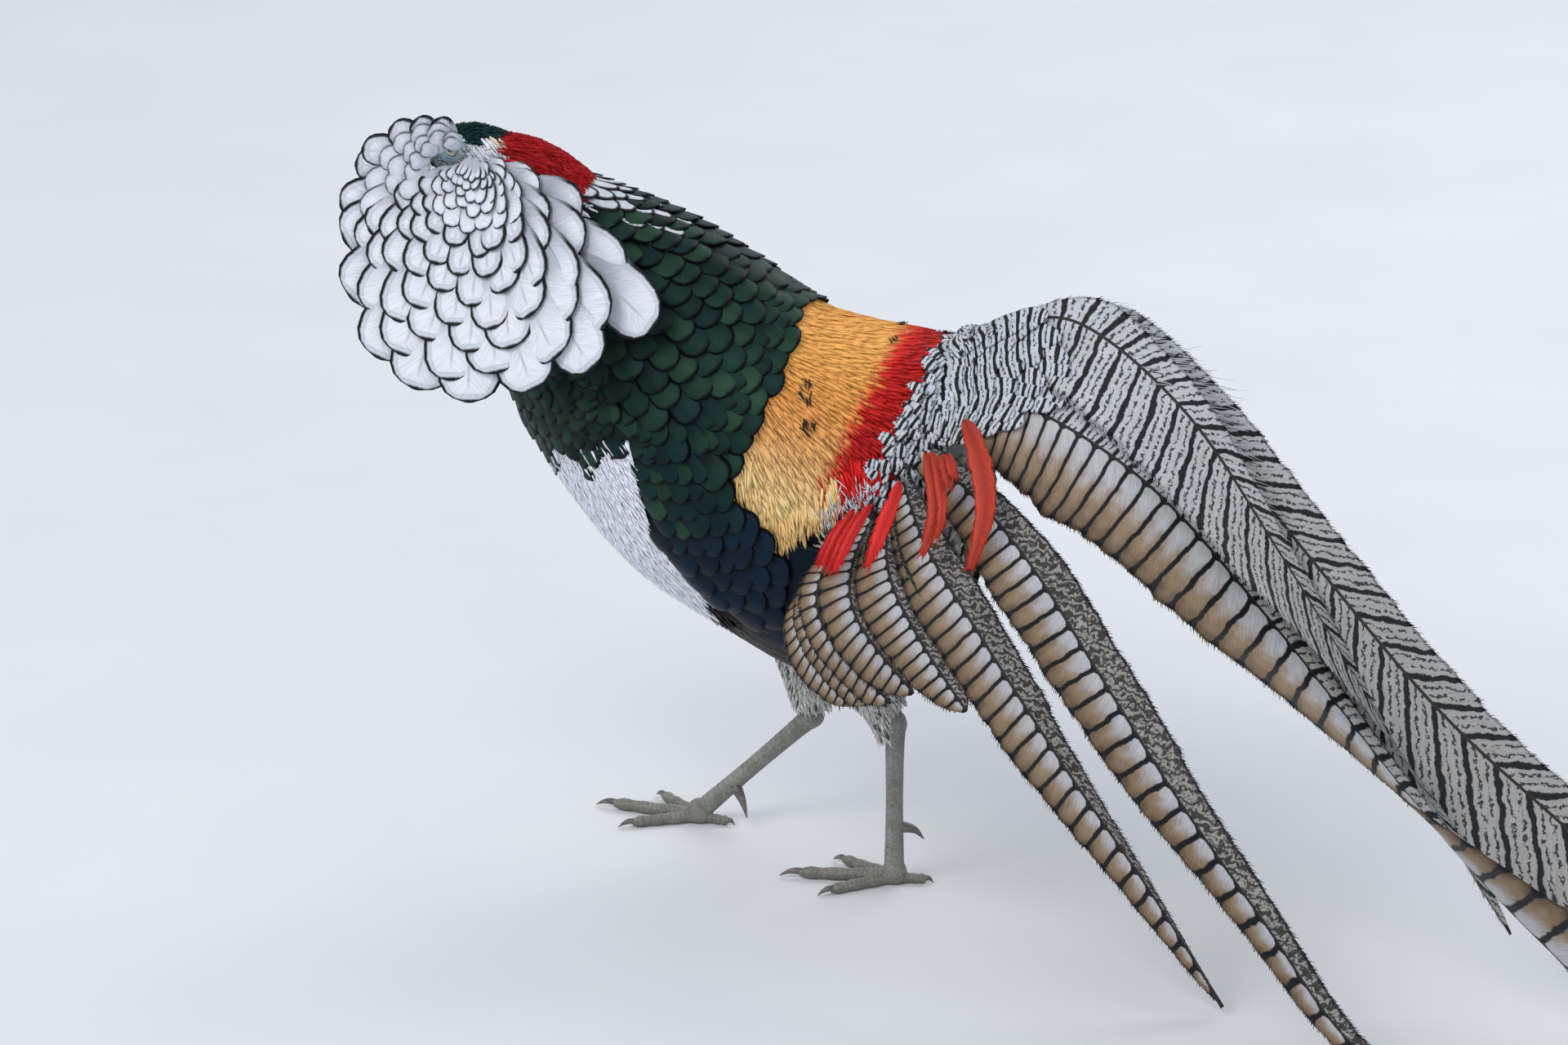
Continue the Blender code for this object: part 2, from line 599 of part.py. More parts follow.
def build_foot(name, sole, inward):
    """Three toes forward and one back. Their undersides are cut flat at the floor."""
    pieces = [ball("ball", sole + (0, 0, -0.6), 6.0, 8, 6)]
    for heading, length, radius in TOES:
        a = math.radians(heading * inward)
        way = np.array([-math.cos(a), math.sin(a), 0.0])
        steps = ((0.0, 1.25, 0.94), (0.34, 1.0, 0.94), (0.62, 0.88, 0.9), (0.86, 0.92, 0.9), (0.96, 0.6, 0.85),
                 (1.18, 0.14, 0.2))
        path = [np.array([sole[0], sole[1], radius * high]) + way * length * s for s, _, high in steps]
        pieces.append(tube("toe", path, [radius * r for _, r, _ in steps], 6))
    foot = fuse(name, pieces)
    low, high = sole - (120, 120, 60), sole + (120, 120, -sole[2])
    boolean(foot, [box("below", low, (high[0], high[1], 0.0))], "DIFFERENCE")
    return foot


def resample(points, count, length=None):
    """The smooth curve through points as count equal steps, cut to a length where one is given."""
    dense = np.array([through(points, t) for t in np.linspace(0, len(points) - 1, 24 * len(points))])
    run = np.concatenate([[0], np.cumsum(np.linalg.norm(np.diff(dense, axis=0), axis=1))])
    places = np.linspace(0, min(run[-1], length or run[-1]), count + 1)
    path = np.stack([np.interp(places, run, dense[:, k]) for k in range(3)], 1)
    path[:, 2] = np.maximum(path[:, 2], LYING)
    return path, places


def at_run(points, places):
    path, run = resample(points, 160)
    return np.stack([np.interp(places, run, path[:, k]) for k in range(3)], 1)


def right_shafts():
    """The far side's shafts: the first shows beside the central one, the others are folded behind it."""
    shafts = [RIGHT_FIRST_SHAFT]
    lead = np.array([through(RIGHT_FIRST_SHAFT, t) for t in (0.0, 1.0, 2.0, 3.0, 4.0, 5.0)])
    for (length, move), root in zip(RIGHT_HIDDEN, RIGHT_ROOTS):
        shares = smooth(np.linspace(0, 1, 6) * 1.4)
        path = lead + np.outer(shares * move, HIDDEN_WAY)
        path += (np.array(root) - lead[0]) * (1 - smooth(np.linspace(0, 1.6, 6)))[:, None]
        shafts.append(resample(path, 5, length)[0])
    return shafts


def turned(vectors, axes, degrees):
    """Vectors turned about their own axes, which they stand square to."""
    a = np.radians(degrees)
    return vectors * np.cos(a) + np.cross(axes, vectors) * np.sin(a)


def rectrix(shaft, inner, outer, webs, count, share=0.5, fold=WEB_FOLD, bare=0.0):
    """A tail feather. Its inner web looks to the inner neighbour's shaft, or away from the outer one's where it is
    the innermost, and its outer web is folded down from that plane. Both keep to their share of the way to a
    neighbour. bare is the length with hardly any inner web."""
    path, places = resample(shaft, count)
    along = unit(np.gradient(path, axis=0))
    chord = path - at_run(outer, places) if inner is None else at_run(inner, places) - path
    chord -= along * np.einsum("ij,ij->i", chord, along)[:, None]
    inner_room = np.linalg.norm(chord, axis=1) * share
    outer_room = 1000.0 if outer is None else np.linalg.norm(at_run(outer, places) - path, axis=1) * (1 - share)
    across = unit(chord)
    across[1:-1] = unit(across[:-2] + across[1:-1] * 2 + across[2:])
    spread = places / places[-1]
    profile = np.interp(spread, (0, 0.10, 0.25, 0.5, 0.82, 1.0), (0.16, 0.58, 1.0, 0.92, 0.50, 0.05))
    grown = smooth((places - bare) / 70.0) if bare else 1.0
    outward = turned(-across, along, fold * smooth(places / 150.0)[:, None])
    inner_edge = path + across * np.minimum(webs[1] * profile * grown + 1.5 * (spread < 0.5), inner_room - 0.4)[:, None]
    outer_edge = path + outward * np.minimum(webs[0] * profile, outer_room - 0.4)[:, None]
    for row in (outer_edge, path, inner_edge):
        row[:, 2] = np.maximum(row[:, 2], LYING)
    return blade("rectrix", outer_edge, path, inner_edge, 0.8)


def way_out(tree, shaft):
    """Where a shaft leaves the body."""
    path, _ = resample(shaft, 120, 90)
    inside = 0
    for i, p in enumerate(path):
        near, normal, _, _ = tree.find_nearest(tuple(p * MM))
        if (p * MM - np.array(near)) @ np.array(normal) < 0:
            inside = i
    return path[min(inside + 1, 120)]


def root_bed(tree, shafts, radius):
    """The quills' common bed, an arc over the tail's root where the shafts of one node come out of it."""
    places = np.array([way_out(tree, s) for s in shafts])
    path = resample(places, max(4, 2 * len(places)))[0] if len(places) > 2 else np.linspace(*places, 4)
    return tube("bed", path, np.full(len(path), radius), 8)


def covert_surface(tree, shafts):
    """The upper tail coverts' surface, from the rump out over the roots of some tail feathers: the way along
    them, their number and the lift off them."""
    lines = []
    for shaft in shafts:
        out = way_out(tree, shaft)
        spots = [(t, a) for t in np.arange(6.5, 10.0, 0.1) for a in range(-30, 130, 4)]
        station, angle = min(spots, key=lambda spot: np.linalg.norm(body_point(*spot) - out))
        path, run = resample(shaft, 160)
        leaves = run[np.linalg.norm(path - out, axis=1).argmin()]
        back = np.array([body_point(station - step, angle) for step in np.arange(0.0, 2.6, 0.1)])
        far = np.linalg.norm(back - back[0], axis=1)
        ahead = [[np.interp(d, far, back[:, k]) for k in range(3)] for d in (20, 11)]
        lines.append(resample(np.vstack([ahead, at_run(shaft, leaves + np.array((12, 34, 62, 95, 130)))]), 160))

    def base(u, v):
        i = int(np.clip(math.floor(v), 0, len(lines) - 2))
        near, far = (np.array([np.interp(u, run, path[:, k]) for k in range(3)]) for path, run in lines[i:i + 2])
        return near + (far - near) * (v - i)

    def point(u, v, lift):
        normal = unit(np.cross(base(u, v + 0.3) - base(u, v - 0.3), base(u + 2, v) - base(u - 2, v)))
        return base(u, v) + normal * lift

    return point


def build_coverts(tree, shafts, tail_base, rear):
    """Feathers in tiers over the tail's root, barred ones and beyond them the long orange-red ones."""
    surface = covert_surface(tree, shafts)
    across = np.linspace(*COVERT_SPAN, 9)
    rows = ((2, 2.0, -2.0), (10, 7.4, -2.0), (15, 8.6, 4.6), (28, 8.8, 5.0))
    core = slab(
        "covert_core",
        [[surface(u, v, lift) for v in across] for u, lift, _ in rows],
        [[surface(u, v, sink) for v in across] for u, _, sink in rows],
    )
    pieces = [core]
    for share, count, lift in COVERT_TIERS:
        pitch = (COVERT_SPAN[1] - COVERT_SPAN[0]) / count
        for j in range(count):
            v = COVERT_SPAN[0] + pitch * (j + 0.5)
            reach = 24 + share * float(np.interp(v, range(4), COVERT_REACH))
            pieces.append(laid_blade("covert_vane", surface, (22, v), (reach, v), pitch / 2, lift, COVERT_TIP))
    facing = np.array([0.25, -0.92, 0.31])
    for points in ORANGE_COVERTS:
        path = resample(points, 5)[0]
        side = unit(np.cross(np.gradient(path, axis=0), facing))
        half = ORANGE_WIDTH * np.array((0.6, 0.8, 0.95, 1.0, 0.85, 0.3))[:, None]
        pieces.append(blade("orange_vane", path + side * half, path, path - side * half))
    coverts = fuse("tail_coverts_upper", pieces)
    cut_clear(coverts, tail_base, rear)
    return paint(coverts, "barred", 0.6)


def build_undertail(rear, tail_base):
    """Short feathers under the tail's root."""
    turn = np.linspace(150, 210, 5)
    places = ((7.4, 0.8), (7.9, 5.4), (8.5, 4.6))
    core = slab(
        "undertail_core",
        [[body_point(t, a, lift) for a in turn] for t, lift in places],
        [[body_point(t, a, -1.5) for a in turn] for t, lift in places],
    )
    pieces = [core]
    for angle in (156, 168, 180, 192, 204):
        pieces.append(laid_blade("undertail_vane", body_point, (8.2, angle), (9.9, angle), 6.0, 2.6, COVERT_TIP))
    undertail = fuse("undertail_coverts", pieces)
    cut_clear(undertail, rear, tail_base)
    return paint(undertail, "grey", 0.6)


def build_tail(tail_base, rear):
    """The tail feather by feather: the central ones with the longest, the fan below them, and the far side's."""
    shown, far_side = LEFT_SHAFTS, right_shafts()
    above = [tuple(np.array(p) + (0, 14, 30)) for p in RIGHT_FIRST_SHAFT]
    tree = tree_of(tail_base, rear)
    central = [
        root_bed(tree, (RIGHT_FIRST_SHAFT, shown[0], shown[1]), 3.0),
        rectrix(shown[0], None, shown[1], LEFT_WEBS[0], 12, 0.36, fold=0, bare=50),
        rectrix(shown[1], shown[0], shown[2], LEFT_WEBS[1], 12, 0.36),
        rectrix(RIGHT_FIRST_SHAFT, above, None, RIGHT_FIRST_WEBS, 12, 1.0, fold=0, bare=50),
    ]
    left = [root_bed(tree, shown[2:], 3.2)]
    for k in range(2, len(shown)):
        after = shown[k + 1] if k + 1 < len(shown) else None
        left.append(rectrix(shown[k], shown[k - 1], after, LEFT_WEBS[k], 11 if k < 4 else 6))
    right = [root_bed(tree, far_side[1:], 3.2)]
    for k in range(1, len(far_side)):
        after = far_side[k + 1] if k + 1 < len(far_side) else None
        webs = LEFT_WEBS[min(k + 1, 8)]
        right.append(rectrix(far_side[k], far_side[k - 1], after, webs, 8 if k < 4 else 5, fold=0))
    for name, pieces, colour in (("tail_central", central, "barred"), ("tail_left", left, "brown"),
                                 ("tail_right", right, "brown")):
        node = fuse(name, pieces)
        cut_clear(node, tail_base, rear)
        paint(node, colour, 0.55)
    build_coverts(tree, (RIGHT_FIRST_SHAFT, *shown[:3]), tail_base, rear)
    build_undertail(rear, tail_base)


def main():
    for obj in list(bpy.data.objects):
        bpy.data.objects.remove(obj)
    neck, front, rear, tail_base = build_body()
    head, eyes = build_head(neck)
    build_cape(tree_of(neck, front, rear, head), head, neck, front)
    build_right_cape(head, neck, front)
    build_crest(head, neck)
    build_wing("left", 1, front, rear, build_leg("left", LEFT_LEG, 1, rear))
    build_wing("right", -1, front, rear, build_leg("right", RIGHT_LEG, -1, rear))
    build_tail(tail_base, rear)


main()
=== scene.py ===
"""The looks of a cock Lady Amherst's pheasant in its sideways display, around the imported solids.

Lengths are millimetres in the arrays and metres in the meshes. The bird faces -X and shows its left side
(-Y). Surfaces are functions of two places and a lift off the skin, and every feather is a thin closed vane
laid over one of them.
"""

import math

import bpy
import numpy as np
from mathutils import Matrix, Vector
from mathutils.bvhtree import BVHTree
from mathutils.kdtree import KDTree


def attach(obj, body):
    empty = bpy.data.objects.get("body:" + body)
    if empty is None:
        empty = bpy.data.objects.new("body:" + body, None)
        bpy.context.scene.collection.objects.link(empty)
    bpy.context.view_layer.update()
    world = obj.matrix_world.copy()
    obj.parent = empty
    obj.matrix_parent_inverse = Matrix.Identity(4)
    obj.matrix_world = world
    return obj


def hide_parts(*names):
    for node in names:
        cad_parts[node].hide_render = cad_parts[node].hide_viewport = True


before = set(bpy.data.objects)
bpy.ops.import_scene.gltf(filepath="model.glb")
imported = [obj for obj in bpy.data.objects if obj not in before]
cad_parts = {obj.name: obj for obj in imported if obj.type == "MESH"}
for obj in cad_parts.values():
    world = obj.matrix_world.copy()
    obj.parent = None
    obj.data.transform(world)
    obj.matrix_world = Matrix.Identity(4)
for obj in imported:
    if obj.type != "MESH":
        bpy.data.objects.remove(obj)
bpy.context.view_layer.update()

MM = 0.001

# Camera of the photograph: where it looks from, and the millimetres round the bird that one pixel shows
AZIMUTH, ELEVATION = 15.0, 18.0
DISTANCE = 3600.0
PIXELS_PER_MM = 2.4
FRAME_WIDTH, FRAME_HEIGHT = 1920, 1280
FOOT_PIXEL = (1095, 1080)  # where the world's origin shows
SENSOR = 36.0

# The body as the solids have it
MID_Y = 30.0
BODY_ROLL = 9.0
BODY_STATIONS = (
    (-194, 361, -228, 327, 19),
    (-165, 350, -222, 286, 32),
    (-135, 341, -207, 238, 46),
    (-105, 329, -181, 194, 57),
    (-76, 314, -145, 151, 62),
    (-49, 296, -102, 124, 63),
    (-20, 290, -60, 105, 61),
    (2, 288, -22, 101, 57),
    (15, 286, 10, 118, 50),
    (22, 282, 30, 150, 42),
    (27, 271, 38, 188, 32),
    (31, 252, 40, 215, 16),
)
HEAD_STATIONS = (
    (-208, 345, 23, 19.5),
    (-217, 353, 22.5, 18.5),
    (-229, 361, 17.5, 14.5),
    (-241, 362.5, 13, 11.5),
    (-250, 360.5, 8, 7.5),
    (-254, 359.5, 4.5, 4.5),
)
BILL_ROOT = (-251.0, 359.6)
BILL_LENGTH = 26.0
EYE_RADIUS = 5.2
EYE_AT = (-236.5, 365.0)
EYE_SIDE = 8.6
LEFT_LEG = {"hip": (-42, 12, 140), "ankle": (0, 0, 86), "ball": (0, 0, 5.2)}
RIGHT_LEG = {"hip": (-60, 50, 140), "ankle": (-59, 60, 64), "ball": (-120, 60, 5.2)}
SHANK_RADIUS = 4.2
KNEE_SHARE = 0.62  # how far from hip to ankle the knee lies
# Each toe's heading from straight forward, length and radius
TOES = ((-8.0, 50.0, 3.3), (30.0, 37.0, 3.0), (-44.0, 38.0, 3.0), (172.0, 17.0, 2.6))

# The tail's shafts as the solids have them, innermost first, and the widths of their outer and inner webs
LYING = 1.2
LEFT_SHAFTS = (
    ((8, 18, 258), (47, 14, 290), (90, 5, 303), (150, -17, 268), (203, -40, 207), (262, -61, 128),
     (330, -84, 36)),
    ((8, 4, 256), (38, 0, 261), (78, -14, 260), (140, -40, 234), (206, -69, 180), (284, -98, 104),
     (352, -124, 49), (420, -150, 9), (520, -188, 1.3)),
    ((6, -8, 240), (47, -36, 223), (86, -68, 198), (129, -104, 157), (177, -143, 111), (226, -178, 67),
     (272, -210, 26), (330, -246, 1.5)),
    ((4, -12, 228), (28, -52, 200), (64, -80, 163), (113, -108, 110), (158, -126, 60), (199, -136, 5)),
    ((1, -14, 219), (11, -60, 189), (31, -80, 162), (61, -100, 132)),
    ((-2, -14, 212), (-8, -56, 188), (-1, -72, 164), (31, -86, 134)),
    ((-5, -13, 206), (-24, -55, 180), (-17, -70, 155), (19, -84, 127)),
    ((-8, -10, 201), (-32, -50, 174), (-26, -66, 149), (6, -80, 124)),
    ((-10, -7, 197), (-35, -46, 169), (-31, -62, 144), (-4, -76, 121)),
)
LEFT_WEBS = ((33, 17), (38, 18), (27, 13), (22, 12), (20, 12), (18, 12), (16, 11), (15, 10), (12, 10))
RIGHT_FIRST_SHAFT = ((8, 26, 258), (52, 25, 289), (95, 18, 296), (150, 2, 262), (214, -24, 202),
                     (282, -50, 140), (343, -72, 98), (430, -102, 45), (510, -129, 9), (620, -166, 1.5))
RIGHT_FIRST_WEBS = (26, 17)
WEB_FOLD = 22.0
RIGHT_HIDDEN = ((560, 34), (460, 62), (360, 88), (250, 104), (190, 112), (150, 116), (125, 116), (108, 112))
HIDDEN_WAY = (-0.27, 1.0, -0.36)
RIGHT_ROOTS = ((6, 40, 259), (5, 50, 250), (4, 57, 240), (2, 62, 229), (0, 64, 219), (-2, 65, 210),
               (-4, 64, 203), (-6, 62, 197))
# Spacing of the black bars where each shown feather leaves the body, and how much it grows per millimetre
BAR_SPACING = (
    (8.5, 0.034), (7.2, 0.034), (7.6, 0.032), (6.2, 0.028), (5.8, 0.014), (5.6, 0.010), (5.4, 0.008),
    (5.2, 0.006), (5.0, 0.004),
)
# Half widths of tail feathers as shares of the widest, by how far along the feather they are
BLUNT_WEB = ((0, 0.10, 0.25, 0.6, 0.82, 0.92, 0.97, 1.0), (0.3, 0.7, 1.0, 1.0, 0.86, 0.62, 0.38, 0.1))
FULL_WEB = ((0, 0.06, 0.14, 0.5, 0.82, 0.95, 1.0), (0.35, 0.80, 1.0, 0.96, 0.80, 0.50, 0.05))
LONG_WEB = ((0, 0.10, 0.25, 0.5, 0.82, 0.95, 1.0), (0.16, 0.58, 1.0, 0.92, 0.50, 0.24, 0.04))

ORANGE_COVERTS = (
    ((36, -20, 262), (51, -44, 251), (61, -64, 226), (57, -80, 198)),
    ((17, -28, 250), (27, -44, 241), (35, -62, 221), (31, -74, 200)),
    ((6, -32, 242), (8, -50, 231), (3, -66, 211), (-3, -76, 191)),
    ((-2, -33, 233), (-5, -51, 221), (-13, -65, 205), (-19, -73, 189)),
)
ORANGE_WIDTH = 5.5

CAPE_HUB = (-222.0, 10.0, 353.0)
CAPE_ANGLES = (-62, -25, 0, 40, 69, 93, 115, 130, 147, 162, 174, 187)
CAPE_REACH = (36, 52, 64, 76, 94, 100, 100, 106, 114, 130, 132, 78)
CAPE_STANDS = (4, 6, 8, 26, 48, 58, 62, 64, 60, 42, 14, -8)
INNER_HUB = (-222.0, 367.0)  # the innermost feathers of the cape ring this place
CAPE_ROWS = (1.0, 0.885, 0.775, 0.67, 0.57, 0.475, 0.39, 0.31, 0.245, 0.19, 0.145, 0.105)  # where tips lie
FACE_ROWS = (1.0, 0.83, 0.67, 0.52)
# How far out the cape's feathers start, by angle, to leave the eye free
CLEAR_OF_EYE = ((-62, -34, -16, 12, 22, 32, 46), (6, 14, 22, 22, 15, 9, 1))
CREST_ROOT = (-215.0, 371.5)
CREST_LENGTH = 52.0

# Colours, as light that comes back
WHITE = (0.70, 0.72, 0.77)
BLACK = (0.006, 0.007, 0.009)
GREEN = (0.0046, 0.0190, 0.0178)
# Painted highlight: the brighter green that iridescent feathers show where light catches them
HIGHLIGHT_GREEN = (0.021, 0.058, 0.032)
BLUE = (0.005, 0.016, 0.032)
GOLD = (0.88, 0.42, 0.095)
PALE_GOLD = (0.92, 0.68, 0.30)
RED = (0.70, 0.010, 0.008)
CRIMSON = (0.42, 0.006, 0.010)
ORANGE_RED = (0.50, 0.033, 0.010)
BUFF = (0.262, 0.182, 0.110)
MOTTLED = (0.44, 0.43, 0.41)
SHAFT = (0.022, 0.019, 0.018)

# Outlines of feathers: how far along each, and the half width there as a share of the widest
ROUND = (
    (0.0, 0.30), (0.18, 0.66), (0.45, 0.92), (0.66, 1.0),
    (0.80, 0.94), (0.90, 0.76), (0.96, 0.50), (1.0, 0.12),
)
SLENDER = ((0.0, 0.35), (0.3, 0.9), (0.6, 1.0), (0.85, 0.66), (1.0, 0.10))
HAIR = ((0.0, 0.6), (0.4, 1.0), (0.75, 0.7), (1.0, 0.12))
POINTED = ((0.0, 0.35), (0.25, 0.85), (0.6, 1.0), (0.85, 0.78), (0.95, 0.5), (1.0, 0.10))

# The skin lies this far below the places that the feathers grow from, and its mesh has this step, in metres
SKIN_DEPTH = 3.0
HEAD_SKIN_DEPTH = 1.2
THIGH_SKIN_DEPTH = 1.8
SKIN_STEP = 0.0021


def unit(v):
    v = np.asarray(v, float)
    return v / np.maximum(np.linalg.norm(v, axis=-1, keepdims=True), 1e-9)


def smooth(t):
    t = np.clip(t, 0.0, 1.0)
    return t * t * (3 - 2 * t)


def alike(*values):
    """Numbers and arrays as arrays of one common size."""
    return np.broadcast_arrays(*(np.asarray(v, float) for v in values))


def through(table, t):
    """Rows at the places t of a table, on a smooth curve through all its rows."""
    table, t = np.asarray(table, float), np.asarray(t, float)
    i = np.clip(np.floor(t).astype(int), 0, len(table) - 2)
    u = (t - i)[..., None]
    a, b = table[np.maximum(i - 1, 0)], table[i]
    c, d = table[i + 1], table[np.minimum(i + 2, len(table) - 1)]
    return b + 0.5 * u * (c - a + u * (2 * a - 5 * b + 4 * c - d + u * (3 * (b - c) + d - a)))


def runs(path):
    """Distance along each path from its first point."""
    steps = np.linalg.norm(np.diff(path, axis=-2), axis=-1)
    return np.concatenate([np.zeros_like(steps[..., :1]), np.cumsum(steps, -1)], -1)


def resample(points, count, length=None):
    """The smooth curve through points as equal steps, cut to a length where one is given."""
    dense = through(points, np.linspace(0, len(points) - 1, 24 * len(points)))
    run = runs(dense)
    places = np.linspace(0, min(run[-1], length or run[-1]), count + 1)
    path = np.stack([np.interp(places, run, dense[:, k]) for k in range(3)], 1)
    path[:, 2] = np.maximum(path[:, 2], LYING)
    return path, places


def at_run(points, places):
    path, run = resample(points, 160)
    return np.stack([np.interp(places, run, path[:, k]) for k in range(3)], 1)


# The surfaces that feathers are laid on


def body_point(t, angle, lift=0.0):
    """A point on the body: angle 0 is the back, 90 the left side (-Y), 180 the underside."""
    t, angle, lift = alike(t, angle, lift)
    top_x, top_z, low_x, low_z, wide = np.moveaxis(through(BODY_STATIONS, t), -1, 0)
    centre = np.stack([(top_x + low_x) / 2, np.full_like(t, MID_Y), (top_z + low_z) / 2], -1)
    up = np.stack([top_x - low_x, np.zeros_like(t), top_z - low_z], -1) / 2
    high = np.linalg.norm(up, axis=-1, keepdims=True)
    wide = wide[..., None]
    turn = np.radians(BODY_ROLL * smooth((t - 1.0) / 3.0))[..., None]
    side = np.array([0.0, -1.0, 0.0])
    up, side = (
        up / high * np.cos(turn) + side * np.sin(turn),
        side * np.cos(turn) - up / high * np.sin(turn),
    )
    a = np.radians(angle)[..., None]
    normal = unit(up * np.cos(a) / high + side * np.sin(a) / wide)
    return centre + up * high * np.cos(a) + side * wide * np.sin(a) + normal * lift[..., None]


def head_point(t, angle, lift=0.0):
    """A point on the head, from the nape (0) to the root of the bill (5)."""
    t, angle, lift = alike(t, angle, lift)
    x, z, high, wide = np.moveaxis(through(HEAD_STATIONS, t), -1, 0)
    last = len(HEAD_STATIONS) - 1
    way = through(HEAD_STATIONS, np.minimum(t + 0.3, last)) - through(HEAD_STATIONS, np.maximum(t - 0.3, 0))
    along = unit(np.stack([way[..., 0], np.zeros_like(x), way[..., 1]], -1))
    up = np.stack([along[..., 2], np.zeros_like(x), -along[..., 0]], -1)
    side = np.array([0.0, -1.0, 0.0])
    a, high, wide = np.radians(angle)[..., None], high[..., None], wide[..., None]
    normal = unit(up * np.cos(a) / high + side * np.sin(a) / wide)
    centre = np.stack([x, np.full_like(x, MID_Y), z], -1)
    return centre + up * high * np.cos(a) + side * wide * np.sin(a) + normal * lift[..., None]


def crown_point(t, angle, lift=0.0):
    """The same, a little flatter along the crown."""
    return head_point(t, angle, lift - 2.2 * (1 - smooth((np.abs(angle) - 36) / 36)))


def limb_surface(path, radii, squash=1.0):
    """A round limb through the points of path, one place to each."""
    table = np.column_stack([np.asarray(path, float), radii])

    def point(t, angle, lift=0.0):
        t, angle, lift = alike(t, angle, lift)
        here = through(table, t)
        way = unit((through(table, t + 0.05) - through(table, t - 0.05))[..., :3])
        reference = np.array([0.0, -1.0, 0.0])
        side = unit(reference - way * (way @ reference)[..., None])
        up = np.cross(way, side)
        a, radius = np.radians(angle)[..., None], here[..., 3:] + lift[..., None]
        return here[..., :3] + radius * (up * np.cos(a) + squash * side * np.sin(a))

    return point


def crest_point(run, across, lift=0.0):
    """The crest lies in a low arch from the crown down the nape; run and across are millimetres."""
    run, across, lift = alike(run, across, lift)
    share = run / CREST_LENGTH
    x = CREST_ROOT[0] + run
    z = CREST_ROOT[1] - 2.0 - 0.42 * run + 25.0 * share * (1 - share)
    spread = across * (0.75 + 0.4 * np.clip(share, 0, 1))
    drop = 0.022 * spread ** 2 + 0.045 * np.maximum(np.abs(spread) - 7, 0) ** 2
    side = unit(np.stack([0 * run, 0.06 * spread, 1 + 0 * run], -1))
    return np.stack([x, MID_Y - 3.0 * share + spread, z - drop], -1) + side * lift[..., None]


def tree_of(*names):
    """The surfaces of some solids, to be asked for their nearest points."""
    points, faces = [], []
    for name in names:
        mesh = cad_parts[name].data
        mesh.calc_loop_triangles()
        first = len(points)
        points += [v.co for v in mesh.vertices]
        faces += [[first + k for k in triangle.vertices] for triangle in mesh.loop_triangles]
    return BVHTree.FromPolygons(points, faces)


def cape_surface():
    """The display cape: share of its reach, angle round its hub from straight forward, lift off it. Its
    innermost rows start under the crest, so the hub moves there as the share goes to nothing."""
    tree = tree_of("neck", "torso_front", "torso_rear", "head")
    xs, zs = np.arange(-306.0, -78.0, 2.0), np.arange(212.0, 402.0, 2.0)
    depth = np.empty((len(xs), len(zs)))
    for i, x in enumerate(xs):
        for j, z in enumerate(zs):
            out, down = CAPE_HUB[0] - x, CAPE_HUB[2] - z
            angle = (math.degrees(math.atan2(down, out)) + 75.0) % 360.0 - 75.0
            reach = np.interp(angle, (*CAPE_ANGLES, 230, 275), (*CAPE_REACH, 60, 40))
            stands = np.interp(angle, (*CAPE_ANGLES, 230, 275), (*CAPE_STANDS, -10, 2))
            share = min(math.hypot(out, down) / reach, 1.2)
            hit = tree.ray_cast((x * MM, -0.5, z * MM), (0, 1, 0))[0]
            near = MID_Y if hit is None else hit.y / MM - 2.0
            depth[i, j] = min(CAPE_HUB[1] - stands * smooth(0.15 + 0.85 * share), near)
    for _ in range(3):  # evens out the step where the cape leaves the neck
        inner = depth[1:-1, 1:-1]
        depth[1:-1, 1:-1] = (inner * 4 + depth[:-2, 1:-1] + depth[2:, 1:-1] + depth[1:-1, :-2]
                             + depth[1:-1, 2:]) / 8

    def point(share, angle, lift=0.0):
        share, angle, lift = alike(share, angle, lift)
        a = np.radians(angle)
        reach = np.interp(angle, CAPE_ANGLES, CAPE_REACH) * share
        inward = np.clip(1 - share, 0, 1) ** 1.5 * (1 - 0.5 * smooth((angle - 110) / 60))
        x = CAPE_HUB[0] + (INNER_HUB[0] - CAPE_HUB[0]) * inward - reach * np.cos(a)
        z = CAPE_HUB[2] + (INNER_HUB[1] - CAPE_HUB[2]) * inward - reach * np.sin(a)
        i = np.clip((x - xs[0]) / 2.0, 0, len(xs) - 1.001)
        j = np.clip((z - zs[0]) / 2.0, 0, len(zs) - 1.001)
        i0, j0 = i.astype(int), j.astype(int)
        u, v = i - i0, j - j0
        y = ((depth[i0, j0] * (1 - v) + depth[i0, j0 + 1] * v) * (1 - u)
             + (depth[i0 + 1, j0] * (1 - v) + depth[i0 + 1, j0 + 1] * v) * u)
        return np.stack([x, y - lift, z], -1)

    return point


def way_out(tree, shaft):
    """Where a shaft leaves the body, and how far along it that is."""
    path, run = resample(shaft, 120, 90)
    inside = 0
    for i, p in enumerate(path):
        near, normal, _, _ = tree.find_nearest(Vector(p * MM))
        if (p * MM - np.array(near)) @ np.array(normal) < 0:
            inside = i
    return path[min(inside + 1, 120)], run[min(inside + 1, 120)]


